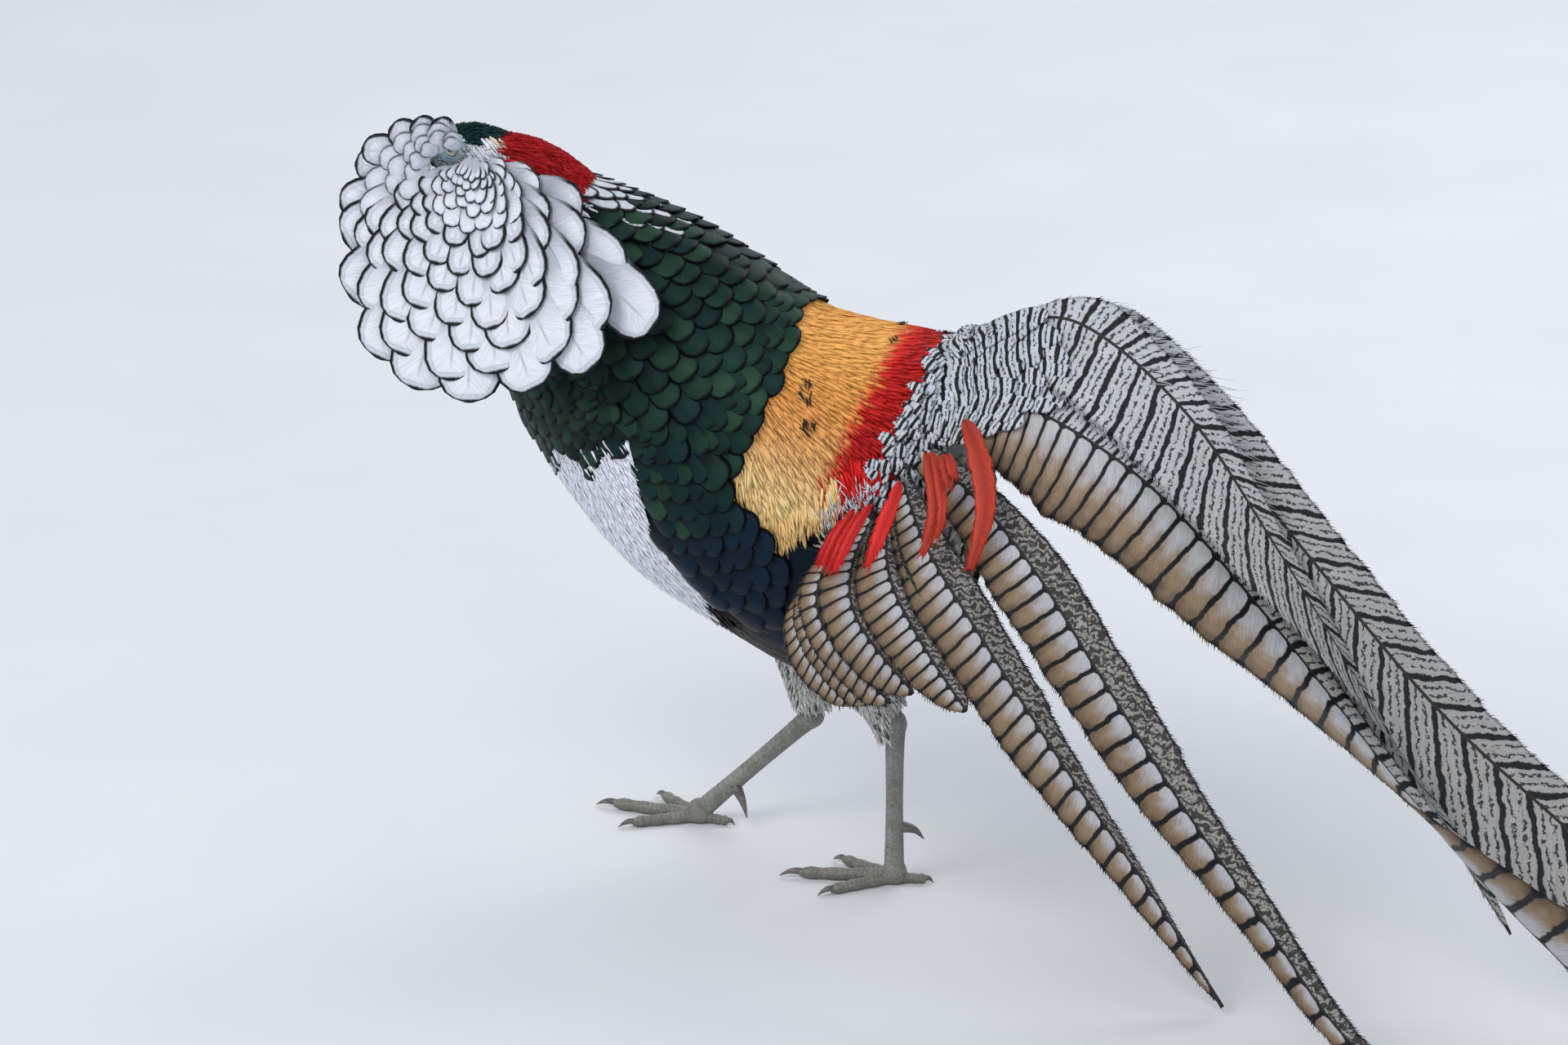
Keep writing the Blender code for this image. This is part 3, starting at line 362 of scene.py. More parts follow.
def covert_surface(tree, shafts):
    """The upper tail coverts' surface, from the rump out over the roots of some tail feathers: the way along
    them, their number and the lift off them."""
    lines = []
    stations, angles = np.meshgrid(np.arange(6.5, 10.0, 0.1), np.arange(-30, 130, 4), indexing="ij")
    spots = body_point(stations, angles)
    for shaft in shafts:
        out, _ = way_out(tree, shaft)
        near = np.linalg.norm(spots - out, axis=-1).argmin()
        station, angle = stations.flat[near], angles.flat[near]
        path, run = resample(shaft, 160)
        leaves = run[np.linalg.norm(path - out, axis=1).argmin()]
        back = body_point(station - np.arange(0.0, 2.6, 0.1), angle)
        far = np.linalg.norm(back - back[0], axis=1)
        ahead = [[np.interp(d, far, back[:, k]) for k in range(3)] for d in (20, 11)]
        beyond = at_run(shaft, leaves + np.array((12, 34, 62, 95, 130)))
        lines.append(resample(np.vstack([ahead, beyond]), 160))

    def base(u, v):
        i = np.clip(np.floor(v).astype(int), 0, len(lines) - 2)
        spread = np.stack([np.stack([np.interp(u, run, path[:, k]) for k in range(3)], -1)
                           for path, run in lines])
        near = np.take_along_axis(spread, i[None, ..., None], 0)[0]
        far = np.take_along_axis(spread, i[None, ..., None] + 1, 0)[0]
        return near + (far - near) * (v - i)[..., None]

    def point(u, v, lift=0.0):
        u, v, lift = alike(u, v, lift)
        normal = unit(np.cross(base(u, v + 0.3) - base(u, v - 0.3), base(u + 2, v) - base(u - 2, v)))
        return base(u, v) + normal * lift[..., None]

    return point


# Feathers


def vane_triangles(rows, columns, flat):
    """Triangles of one closed vane: a grid above, one below that shares its edges, and two end caps."""
    top = np.arange(rows * columns).reshape(rows, columns)
    if flat:
        low = top[:, [0, -1]]
    else:
        inner = rows * columns + np.arange(rows * (columns - 2)).reshape(rows, columns - 2)
        low = np.concatenate([top[:, :1], inner, top[:, -1:]], 1)
    faces = []
    for grid, turn in ((top, 1), (low, -1)):
        a, b, c, d = grid[:-1, :-1], grid[:-1, 1:], grid[1:, 1:], grid[1:, :-1]
        for corners in ((a, b, c), (a, c, d)):
            faces.append(np.stack([k.ravel() for k in corners], 1)[:, ::turn])
    for row, turn in ((0, -1), (rows - 1, 1)):
        ring = list(top[row]) + list(low[row, 1:-1][::-1])
        faces.append(np.array([(ring[0], ring[k], ring[k + 1]) for k in range(1, len(ring) - 1)])[:, ::turn])
    return np.vstack(faces)


COLUMNS = {  # places of a vane's columns, -1 to 1
    "tuft": (-1.0, 0.0, 1.0),
    "scale": (-1.0, -0.72, -0.36, 0.0, 0.36, 0.72, 1.0),
    "plume": (-1.0, -0.86, -0.66, -0.44, -0.22, -0.06, 0.0, 0.06, 0.22, 0.44, 0.66, 0.86, 1.0),
}


def vanes(path, up, half, shape="tuft", other=None, thick=0.35, camber=0.18, base=WHITE, phase=0.0, seed=None,
          patch=None, material=0, ridge=0.0):
    """Feathers as thin closed vanes. path and up are (feathers, rows, 3); half is the half width of each row,
    on the left, and other that on the right. patch holds each one's corner and size on the bake's map."""
    count, rows = path.shape[:2]
    s = np.array(COLUMNS[shape])
    flat = shape == "tuft"
    way = unit(np.gradient(path, axis=1))
    side = unit(np.cross(way, up))
    up = np.cross(side, way)
    half = np.broadcast_to(half, (count, rows)).astype(float)
    other = half if other is None else np.broadcast_to(other, (count, rows))
    web = np.where(s < 0, half[..., None], other[..., None])
    across = s * web
    reach = np.maximum(half, other)[..., None]
    sink = camber * across ** 2 / np.maximum(reach, 0.1)
    depth = np.broadcast_to(thick, (count, rows))[..., None] * np.sqrt(np.clip(1 - s * s, 0, 1))
    if ridge:
        depth = depth + ridge * np.linspace(1.0, 0.35, rows)[:, None] * (np.abs(s) < 0.05)
    middle = path[:, :, None] + side[:, :, None] * across[..., None] - up[:, :, None] * sink[..., None]
    top = middle + up[:, :, None] * depth[..., None]
    points = [top.reshape(count, -1, 3)]
    if not flat:
        low = middle - up[:, :, None] * depth[..., None] * 0.6
        points.append(low[:, :, 1:-1].reshape(count, -1, 3))
    run = runs(path)
    length = run[:, -1:]
    along = np.broadcast_to(run[..., None], across.shape)
    share = along / length[..., None]
    edge = np.minimum((1 - np.abs(s)) * web, length[..., None] - along)
    seed = np.zeros(count) if seed is None else seed
    chosen = np.broadcast_to(seed[:, None, None], across.shape)
    phase = np.broadcast_to(phase, across.shape)
    colour = np.asarray(base, float)
    if colour.ndim == 1:
        colour = np.broadcast_to(colour, (count, 3))
    if colour.ndim == 2:
        colour = np.broadcast_to(colour[:, None, None], (*across.shape, 3))
    elif colour.ndim == 3:
        colour = np.broadcast_to(colour[:, :, None], (*across.shape, 3))
    if patch is None:
        patch = cells(count)
    x0, y0, wide, tall = (patch[:, k, None, None] for k in range(4))
    bake = np.stack([x0 + wide * (np.broadcast_to(s, across.shape) * 0.5 + 0.5), y0 + tall * share], -1)
    fields = {
        "vane": np.stack([across, along, chosen], -1),
        "spot": np.stack([np.broadcast_to(s, across.shape), share, phase], -1),
        "edge": edge[..., None],
        "base": np.concatenate([colour, np.ones_like(edge)[..., None]], -1),
        "bake": bake,
    }
    for name, value in fields.items():
        width = value.shape[-1]
        both = [value.reshape(count, -1, width)]
        if not flat:
            both.append(value[:, :, 1:-1].reshape(count, -1, width))
        fields[name] = np.concatenate(both, 1).reshape(-1, width)
    points = np.concatenate(points, 1)
    one = vane_triangles(rows, len(s), flat)
    faces = (one[None] + (np.arange(count) * points.shape[1])[:, None, None]).reshape(-1, 3)
    fields.update(points=points.reshape(-1, 3), faces=faces, material=np.full(len(faces), material))
    return fields


def cells(count, first=0, total=None):
    """Each feather's own cell of the bake's map, in rows."""
    total = total or count
    across = max(1, math.ceil(math.sqrt(total)))
    k = np.arange(first, first + count)
    size = 1.0 / across
    return np.stack([(k % across + 0.04) * size, (k // across + 0.04) * size, np.full(count, 0.92 * size),
                     np.full(count, 0.92 * size)], 1)


def strips(count, first=0, total=None):
    """Each long feather's own strip of the bake's map."""
    total = total or count
    k = np.arange(first, first + count)
    return np.stack([(k + 0.04) / total, np.full(count, 0.01), np.full(count, 0.92 / total),
                     np.full(count, 0.98)], 1)


PATCH = 0.003


def roots_on_map(u, v, us, vs):
    """Small patches of the bake's map at the roots' places on the surface's own unwrap."""
    x = 0.01 + 0.97 * (u - us[0]) / (us[1] - us[0])
    y = 0.01 + 0.97 * (v - vs[0]) / (vs[1] - vs[0])
    size = np.full(len(u), PATCH)
    return np.stack([np.clip(x, 0, 0.99), np.clip(y, 0, 0.99), size, size], 1)


def scatter(surface, us, vs, pitch, rng, keep=None, loose=0.35):
    """Roots in staggered rows over part of a surface: pitch is along it and across it, in millimetres."""
    fine = np.linspace(*us, 200)
    run = runs(surface(fine, np.full(200, sum(vs) / 2)))
    rows = np.interp(np.arange(pitch[0] * 0.5, run[-1], pitch[0]), run, fine)
    step = (us[1] - us[0]) / run[-1]
    found = []
    for k, u in enumerate(rows):
        line = np.linspace(*vs, 90)
        length = runs(surface(np.full(90, u), line))
        places = np.arange(pitch[1] * (0.2 + 0.5 * (k % 2)), length[-1], pitch[1])
        places = places + rng.uniform(-loose, loose, len(places)) * pitch[1]
        v = np.interp(places, length, line)
        found.append(np.stack([u + rng.uniform(-loose, loose, len(v)) * pitch[0] * step, v], 1))
    u, v = np.vstack(found).T
    if keep is not None:
        kept = keep(u, v)
        u, v = u[kept], v[kept]
    return u, v


def lay(surface, u, v, heading, length, shares, lift, steps=(0.02, 1.0), bend=0.0):
    """Centre lines of feathers over a surface from the places of their tips, the way up from it, and the
    places of their rows. A heading of 0 runs along the surface's first place, one of 90 along its second."""
    u, v = np.asarray(u, float), np.asarray(v, float)
    heading, length = np.broadcast_to(heading, u.shape), np.broadcast_to(length, u.shape)
    scale_u = np.linalg.norm(surface(u + steps[0], v) - surface(u - steps[0], v), axis=-1) / (2 * steps[0])
    scale_v = np.linalg.norm(surface(u, v + steps[1]) - surface(u, v - steps[1]), axis=-1) / (2 * steps[1])
    scale_u = np.maximum(scale_u, 0.4 * np.median(scale_u))
    scale_v = np.maximum(scale_v, 0.3 * np.median(scale_v))
    back = np.asarray(shares, float) - 1.0
    a = np.radians(heading[:, None] + np.broadcast_to(bend, u.shape)[:, None] * back)
    uu = u[:, None] + np.cos(a) * (length / scale_u)[:, None] * back
    vv = v[:, None] + np.sin(a) * (length / scale_v)[:, None] * back
    lift = np.broadcast_to(lift, uu.shape)
    path = surface(uu, vv, lift)
    return path, unit(surface(uu, vv, lift + 1.0) - path), uu, vv


def profile(table, shares):
    return np.interp(shares, *zip(*table))


def feathered(surface, u, v, heading, length, half, rng, *, outline=SLENDER, shape="tuft", lifts=(0.0, 1.6),
              rows=4, base=WHITE, us=None, vs=None, steps=(0.02, 1.0), thick=0.3, camber=0.18, vary=0.16,
              sway=7.0, tone=0.10, material=0, bend=0.0, own_cells=False, tint=None, blur=0.0):
    """A field of like feathers by the places of their tips, each varied a little. tint gives the colour at
    places of the surface, asked for with a blur for each feather."""
    count = len(u)
    outline_shares = np.array([row[0] for row in outline])
    shares = outline_shares if shape != "tuft" else np.linspace(0, 1, rows)
    length = length * (1 + rng.normal(0, vary, count).clip(-2 * vary, 2 * vary))
    half = half * (1 + rng.normal(0, vary * 0.7, count).clip(-2 * vary, 2 * vary))
    heading = heading + rng.normal(0, sway, count)
    start, end = lifts
    lift = start + (end - start) * shares + rng.normal(0, 0.22, count)[:, None] * smooth(shares * 2)
    path, up, uu, vv = lay(surface, u, v, heading, length, shares, lift, steps, bend)
    colour = np.broadcast_to(np.asarray(base, float), (count, 3))
    shade = 1 + rng.normal(0, tone, count)[:, None]
    if tint is None:
        colour = colour * shade
    else:
        colour = tint(uu + rng.normal(0, blur, count)[:, None], vv) * shade[..., None]
    us, vs = us or (u.min(), u.max()), vs or (v.min(), v.max())
    patch = cells(count) if own_cells else roots_on_map(uu[:, 0].clip(*us), vv[:, 0].clip(*vs), us, vs)
    return vanes(path, up, half[:, None] * profile(outline, shares), shape, None, thick, camber,
                 colour.clip(0.002, 0.95), 0.0, rng.uniform(0, 100, count), patch, material)


def mesh_of(name, parts):
    """One mesh from parts of points, faces and fields."""
    first, faces = 0, []
    for part in parts:
        faces.append(part["faces"] + first)
        first += len(part["points"])
    points, faces = np.vstack([p["points"] for p in parts]), np.vstack(faces)
    mesh = bpy.data.meshes.new(name)
    mesh.vertices.add(len(points))
    mesh.vertices.foreach_set("co", (points * MM).astype(np.float32).ravel())
    mesh.loops.add(faces.size)
    mesh.loops.foreach_set("vertex_index", faces.astype(np.int32).ravel())
    mesh.polygons.add(len(faces))
    mesh.polygons.foreach_set("loop_start", np.arange(0, faces.size, 3, dtype=np.int32))
    kinds = {"vane": "FLOAT_VECTOR", "spot": "FLOAT_VECTOR", "edge": "FLOAT", "base": "FLOAT_COLOR"}
    keys = {"FLOAT_VECTOR": "vector", "FLOAT": "value", "FLOAT_COLOR": "color"}
    for field, kind in kinds.items():
        if all(field in p for p in parts):
            made = mesh.attributes.new(field, kind, "POINT")
            made.data.foreach_set(keys[kind], np.vstack([p[field] for p in parts]).astype(np.float32).ravel())
    if all("bake" in p for p in parts):
        bake = np.vstack([p["bake"] for p in parts])
        layer = mesh.uv_layers.new(name="OFBake")
        layer.data.foreach_set("uv", bake[faces.ravel()].astype(np.float32).ravel())
    chosen = np.concatenate([p.get("material", np.zeros(len(p["faces"]), int)) for p in parts])
    mesh.update(calc_edges=True)
    mesh.polygons.foreach_set("material_index", chosen.astype(np.int32))
    mesh.shade_smooth()
    return mesh


def piece(name, parts, materials, slot, *replaced):
    """A piece of the part from meshes of feathers or solids."""
    mesh = mesh_of(name, parts if isinstance(parts, list) else [parts])
    for material in materials if isinstance(materials, (list, tuple)) else [materials]:
        mesh.materials.append(material)
    obj = bpy.data.objects.new(name, mesh)
    bpy.context.scene.collection.objects.link(obj)
    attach(obj, "root")
    if replaced:
        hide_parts(*replaced)
    print("piece", name, len(mesh.polygons))
    return obj


# Materials


class Finish:
    """A material's node tree, with short names for the nodes that it is made of."""

    def __init__(self, name, **constants):
        self.material = bpy.data.materials.new(name)
        self.material.use_nodes = True
        self.tree = self.material.node_tree
        self.shader = self.tree.nodes["Principled BSDF"]
        for socket, value in constants.items():
            self.shader.inputs[socket.replace("_", " ")].default_value = value

    def node(self, kind, inputs=(), **settings):
        made = self.tree.nodes.new(kind)
        for key, value in settings.items():
            setattr(made, key, value)
        for key, value in dict(inputs).items():
            self.put(made.inputs[key], value)
        return made

    def put(self, socket, value):
        if isinstance(value, bpy.types.NodeSocket):
            self.tree.links.new(value, socket)
        elif isinstance(value, tuple) and len(value) == 3 and socket.type == "RGBA":
            socket.default_value = (*value, 1.0)
        else:
            socket.default_value = value

    def attribute(self, name):
        return self.node("ShaderNodeAttribute", attribute_name=name, attribute_type="GEOMETRY").outputs

    def place(self):
        return self.node("ShaderNodeNewGeometry").outputs["Position"]

    def parts(self, vector):
        return self.node("ShaderNodeSeparateXYZ", {0: vector}).outputs

    def vector(self, x, y, z=0.0):
        return self.node("ShaderNodeCombineXYZ", {0: x, 1: y, 2: z}).outputs[0]

    def math(self, operation, *values):
        return self.node("ShaderNodeMath", dict(enumerate(values)), operation=operation).outputs[0]

    def plus(self, a, b):
        return self.math("ADD", a, b)

    def minus(self, a, b):
        return self.math("SUBTRACT", a, b)

    def times(self, a, b):
        return self.math("MULTIPLY", a, b)

    def stirred(self, value, noise, amount):
        """A value moved up and down by a noise."""
        return self.plus(value, self.times(self.minus(noise, 0.5), amount))

    def off_whole(self, value):
        """How far a value is from the nearest whole number."""
        part = self.math("FRACT", value)
        return self.math("MINIMUM", part, self.minus(1.0, part))

    def ramp(self, value, low, high, start=0.0, end=1.0):
        return self.node("ShaderNodeMapRange", {0: value, 1: low, 2: high, 3: start, 4: end},
                         interpolation_type="SMOOTHSTEP").outputs[0]

    def noise(self, vector, scale, detail=2.0, rough=0.5):
        inputs = {"Vector": vector, "Scale": scale, "Detail": detail, "Roughness": rough}
        return self.node("ShaderNodeTexNoise", inputs).outputs["Fac"]

    def mix(self, factor, a, b, blend="MIX"):
        made = self.node("ShaderNodeMix", data_type="RGBA", blend_type=blend)
        for key, value in ((0, factor), (6, a), (7, b)):
            self.put(made.inputs[key], value)
        return made.outputs[2]

    def bump(self, height, distance, strength=1.0):
        inputs = {"Height": height, "Distance": distance * MM, "Strength": strength}
        self.tree.links.new(self.node("ShaderNodeBump", inputs).outputs[0], self.shader.inputs["Normal"])

    def colour(self, value):
        self.put(self.shader.inputs["Base Color"], value)

    def rough(self, value):
        self.put(self.shader.inputs["Roughness"], value)


class Vane(Finish):
    """The finish of feathers: reads the fields that vanes carry."""

    def __init__(self, name, slant=1.0, **constants):
        super().__init__(name, **constants)
        self.across, self.along, self.seed = self.parts(self.attribute("vane")["Vector"])
        self.side, self.share, self.phase = self.parts(self.attribute("spot")["Vector"])
        self.edge = self.attribute("edge")["Fac"]
        self.base = self.attribute("base")["Color"]
        self.width = self.math("ABSOLUTE", self.across)
        self.barb = self.minus(self.along, self.times(self.width, slant))
        web = self.plus(self.seed, self.math("GREATER_THAN", self.across, 0.0))
        streaks = self.vector(self.times(self.barb, 1.6), self.times(self.width, 0.16), web)
        self.streak = self.noise(streaks, 1.0, 3.0, 0.6)
        self.flat = self.vector(self.along, self.across, self.seed)

    def barbs(self, base, light=0.8, lit=1.2, rough=(0.42, 0.62), height=0.25):
        """Streaks along the barbs in colour, gloss and relief."""
        shade = self.ramp(self.streak, 0.25, 0.75, light, lit)
        self.colour(self.mix(1.0, base, self.vector(shade, shade, shade), "MULTIPLY"))
        self.rough(self.ramp(self.streak, 0.2, 0.8, *rough))
        comb = self.math("SINE", self.times(self.barb, 5.2))
        self.bump(self.plus(self.streak, self.times(comb, 0.12)), height, 0.6)


def plain_feathers(name, rough=(0.45, 0.65), light=0.72, lit=1.25, height=0.3, **constants):
    finish = Vane(name, **constants)
    finish.barbs(finish.base, light, lit, rough, height)
    return finish.material


def rimmed_feathers(name, rim, width, rough, line=None, start=0.35, painted_highlight=None, shade=None, soft=0.5,
                    painted_rim_shade=None, **constants):
    """Feathers with a dark rim round the outer part of each, and optionally a faint second line inside it
    with a streak along the shaft, a painted highlight ahead of the rim on some of them, a darker root of
    painted shade, or painted shade inside the rim that makes each look domed, as its depth and colour."""
    finish = Vane(name, **constants)
    edge = finish.stirred(finish.edge, finish.noise(finish.flat, 0.45, 2.0), width * 0.5)
    tip = finish.ramp(finish.share, start, start + 0.3)
    inner, outer = width * (1 - soft * 0.5), width * (1 + soft)
    mask = finish.times(finish.ramp(edge, inner, outer, 1.0, 0.0), tip)
    base = finish.base
    # Painted shade: the root part of each feather turns to the shade colour
    if shade:
        base = finish.mix(finish.ramp(finish.share, 0.30, 0.80, 1.0, 0.0), base, shade)
    # Painted highlight: a brighter patch towards the tip of some feathers
    if painted_highlight:
        some = finish.ramp(finish.noise(finish.vector(finish.seed, 0.0), 3.1), 0.42, 0.62, 0.0, 0.5)
        base = finish.mix(finish.times(finish.ramp(finish.share, 0.55, 0.8), some), base, painted_highlight)
    if line:
        big = finish.ramp(finish.along, 16.0, 30.0)
        off = finish.math("ABSOLUTE", finish.minus(edge, width * 2.4))
        second = finish.times(finish.ramp(off, 0.15, 0.7, 0.35, 0.0), finish.times(tip, big))
        streak = finish.ramp(finish.width, 0.3, 1.1, 0.5, 0.0)
        streak = finish.times(streak, finish.ramp(finish.share, 0.55, 0.75))
        streak = finish.times(streak, finish.ramp(finish.share, 0.80, 0.93, 1.0, 0.0))
        base = finish.mix(finish.math("MAXIMUM", second, finish.times(streak, big)), base, line)
    # Painted shade: grey that fades in from the rim, so that each feather looks domed
    if painted_rim_shade:
        near_rim = finish.times(finish.ramp(edge, width, width + painted_rim_shade[0], 0.55, 0.0), tip)
        base = finish.mix(near_rim, base, painted_rim_shade[1])
    finish.barbs(finish.mix(mask, base, rim), 0.84, 1.14, rough, 0.28)
    return finish.material


def maze(finish, lines=3.0, thick=0.085, bend=0.9, broken=0.38,
         ground=((0.42, 0.43, 0.44), (0.56, 0.58, 0.61))):
    """Pale web with black bars and fine, broken black lines along them."""
    phase = finish.stirred(finish.phase, finish.noise(finish.flat, 0.12, 2.0), 0.34)
    fine = finish.noise(finish.flat, 0.62, 2.0)
    wavy = finish.stirred(finish.off_whole(phase), fine, 0.12)
    bar = finish.ramp(wavy, thick, thick + 0.05, 1.0, 0.0)
    along = finish.stirred(finish.times(phase, lines), fine, bend)
    thin = finish.ramp(finish.off_whole(along), 0.10, 0.20, 0.92, 0.0)
    gaps = finish.ramp(finish.noise(finish.flat, 0.42, 1.0), broken, broken + 0.10)
    dark = finish.math("MAXIMUM", bar, finish.times(thin, gaps))
    pale = finish.mix(finish.noise(finish.flat, 0.05, 2.0), *ground)
    pale = finish.mix(finish.ramp(finish.along, 90.0, 300.0, 0.0, 0.6), pale, (0.26, 0.24, 0.21))
    return finish.mix(dark, pale, BLACK)


def covert_maze(finish):
    return maze(finish, 2.0, 0.135, 0.62, 0.40, ((0.46, 0.48, 0.51), (0.58, 0.61, 0.66)))


def lobes(finish):
    """White lobes beside the shaft that turn buff outwards, parted by black bars."""
    phase = finish.stirred(finish.phase, finish.noise(finish.flat, 0.10, 2.0), 0.26)
    off = finish.off_whole(phase)
    share = finish.math("ABSOLUTE", finish.side)
    by_shaft = finish.ramp(finish.width, 0.4, 2.4, 0.18, 0.0)
    by_edge = finish.ramp(share, 0.86, 1.0, 0.0, 0.10)
    wide = finish.plus(finish.plus(by_shaft, by_edge), 0.102)
    bar = finish.ramp(finish.minus(off, wide), -0.035, 0.035, 1.0, 0.0)
    cloud = finish.stirred(share, finish.noise(finish.flat, 0.16, 2.0), 0.34)
    cloud = finish.plus(cloud, finish.ramp(off, 0.10, 0.48, 0.12, 0.0))
    ground = finish.mix(finish.ramp(cloud, 0.16, 0.68), (0.47, 0.47, 0.49), BUFF)
    ground = finish.mix(finish.ramp(cloud, 0.60, 1.12), ground, (0.085, 0.055, 0.033))
    return finish.mix(bar, ground, BLACK)


def crumpled(finish):
    """Dark grey-brown web with black wavy bars that slant towards the tip and pale crumbs between them."""
    wander = finish.noise(finish.flat, 0.24, 3.0)
    moved = finish.minus(finish.times(wander, 3.2), finish.times(finish.width, 0.13))
    off = finish.off_whole(finish.plus(finish.times(finish.phase, 1.7), moved))
    broken = finish.ramp(finish.noise(finish.flat, 0.9, 2.0), 0.30, 0.55)
    pale = finish.times(finish.ramp(off, 0.14, 0.34), broken)
    ground = finish.mix(pale, (0.034, 0.030, 0.029), (0.29, 0.275, 0.265))
    return finish.mix(finish.ramp(finish.edge, 0.6, 1.6, 0.8, 0.0), ground, BLACK)


def tail_vane(name, outer, inner, shaft_width=0.75):
    """A tail feather's finish, with its outer web on the left of the shaft and its inner one on the right."""
    finish = Vane(name, 0.8, Specular_IOR_Level=0.25)
    left = outer(finish)
    right = inner(finish) if inner is not outer else left
    base = finish.mix(finish.math("GREATER_THAN", finish.across, 0.0), left, right)
    if shaft_width:
        shaft = finish.ramp(finish.width, shaft_width * 0.7, shaft_width * 1.4, 1.0, 0.0)
        base = finish.mix(shaft, base, SHAFT)
    finish.barbs(base, 0.80, 1.14, (0.5, 0.7), 0.3)
    return finish.material


def skin_finish():
    finish = Finish("skin", Specular_IOR_Level=0.3)
    base = finish.attribute("base")["Color"]
    speck = finish.noise(finish.place(), 900.0, 3.0)
    finish.colour(finish.mix(finish.ramp(speck, 0.3, 0.7), base, finish.mix(0.5, base, BLACK)))
    finish.rough(finish.ramp(speck, 0.2, 0.8, 0.6, 0.85))
    finish.bump(speck, 0.4, 0.7)
    return finish.material


def face_finish():
    finish = Finish("face_skin", Specular_IOR_Level=0.45, Subsurface_Weight=0.12, Subsurface_Scale=0.002)
    bumps = finish.noise(finish.place(), 1500.0, 3.0)
    patches = finish.noise(finish.place(), 260.0, 2.0)
    finish.colour(finish.mix(finish.ramp(patches, 0.3, 0.7), (0.26, 0.42, 0.50), (0.50, 0.62, 0.66)))
    finish.rough(finish.ramp(bumps, 0.2, 0.8, 0.38, 0.62))
    finish.bump(bumps, 0.25, 0.8)
    return finish.material


def horn_finish(name, dark, pale, scale=220.0):
    finish = Finish(name, Specular_IOR_Level=0.5, Coat_Weight=0.25, Coat_Roughness=0.25)
    stretched = finish.node("ShaderNodeMapping", {"Vector": finish.place(), "Scale": (0.35, 1.0, 1.6)})
    grain = finish.noise(stretched.outputs[0], scale, 4.0, 0.6)
    finish.colour(finish.mix(finish.ramp(grain, 0.3, 0.7), dark, pale))
    finish.rough(finish.ramp(grain, 0.2, 0.8, 0.28, 0.5))
    finish.bump(grain, 0.2, 0.5)
    return finish.material


def scaly_finish():
    finish = Finish("leg_skin", Specular_IOR_Level=0.45)
    base = finish.mix(0.5, finish.attribute("base")["Color"], (0.10, 0.105, 0.085))
    speck = finish.noise(finish.place(), 700.0, 3.0)
    cloud = finish.noise(finish.place(), 110.0, 2.0)
    tint = finish.mix(finish.ramp(cloud, 0.35, 0.65), base, finish.mix(0.5, base, (0.09, 0.085, 0.06)))
    pale = finish.mix(0.25, tint, (0.45, 0.45, 0.42))
    finish.colour(finish.mix(finish.ramp(speck, 0.35, 0.75), tint, pale))
    finish.rough(finish.ramp(speck, 0.2, 0.8, 0.42, 0.68))
    finish.bump(speck, 0.2, 0.5)
    return finish.material


def eye_finish():
    """Pale iris round a black pupil, under a clear gloss. The eye looks along the sides' axis."""
    finish = Finish("eye", Roughness=0.06, Specular_IOR_Level=0.7, Coat_Weight=0.8, Coat_Roughness=0.03)
    base = finish.attribute("base")["Color"]
    out, round_it, _ = finish.parts(finish.attribute("vane")["Vector"])
    rays = finish.noise(finish.vector(finish.times(round_it, 3.0), out), 2.4, 3.0)
    finish.colour(finish.mix(finish.ramp(rays, 0.3, 0.7, 0.0, 0.45), base, finish.mix(0.6, base, BLACK)))
    finish.bump(rays, 0.02, 0.2)
    return finish.material


def floor_finish():
    finish = Finish("floor", Specular_IOR_Level=0.25)
    cloud = finish.noise(finish.place(), 6.0, 3.0)
    finish.colour(finish.mix(cloud, (0.70, 0.71, 0.73), (0.76, 0.77, 0.78)))
    finish.rough(finish.ramp(cloud, 0.2, 0.8, 0.6, 0.75))
    finish.bump(finish.noise(finish.place(), 240.0, 3.0), 0.05, 0.3)
    return finish.material


# Borders between the plumage's regions on the body, by how far round from the back a place is


def mantle_end(m):
    return np.interp(m, (0, 10, 24, 44, 60, 78, 92), (4.98, 5.03, 5.12, 5.10, 5.05, 5.0, 4.75))


def breast_end(m):
    return np.interp(m, (88, 94, 112, 120, 130, 180), (5.2, 3.70, 3.45, 3.33, 3.05, 2.95))


def side_low(t):
    return np.interp(t, (3.6, 3.7, 3.9, 4.2, 4.5, 4.75, 5.1, 5.3), (90, 92, 103, 114, 120, 124, 131, 150))


def is_green(t, m):
    return np.where(m < 88, t < mantle_end(m), t < breast_end(m))


def gold_low(t):
    return np.interp(t, (4.6, 5.0, 5.45, 5.85, 6.3, 6.7, 7.5), (70, 78, 88, 91, 80, 71, 70))


def red_start(m):
    return np.interp(m, (0, 12, 42, 58, 70, 90), (6.85, 6.82, 6.5, 6.28, 6.2, 6.05))


def red_end(m):
    return np.interp(m, (0, 2, 44, 60, 70, 90), (9.05, 9.0, 7.75, 7.2, 7.0, 6.75))


def rump_colour(t, angle):
    """Gold that turns pale low down, and red from its border on, darkest in its middle."""
    m = np.abs(angle)
    pale = smooth((m - 42) / 42)[..., None] * 0.95
    deep = (smooth((m - 20) / 30) * (1 - smooth((m - 60) / 20)))[..., None] * 0.22
    gold = (np.array(GOLD) * (1 - pale) + np.array(PALE_GOLD) * pale) * (1 - deep * np.array((0.5, 1.0, 1.0)))
    middle = np.abs(t - (red_start(m) + red_end(m)) / 2)
    red = np.array(RED) * (0.62 + 0.5 * np.clip(middle, 0, 0.9))[..., None]
    turn = smooth((t - red_start(m) + 0.10) / 0.20)[..., None]
    return gold * (1 - turn) + red * turn


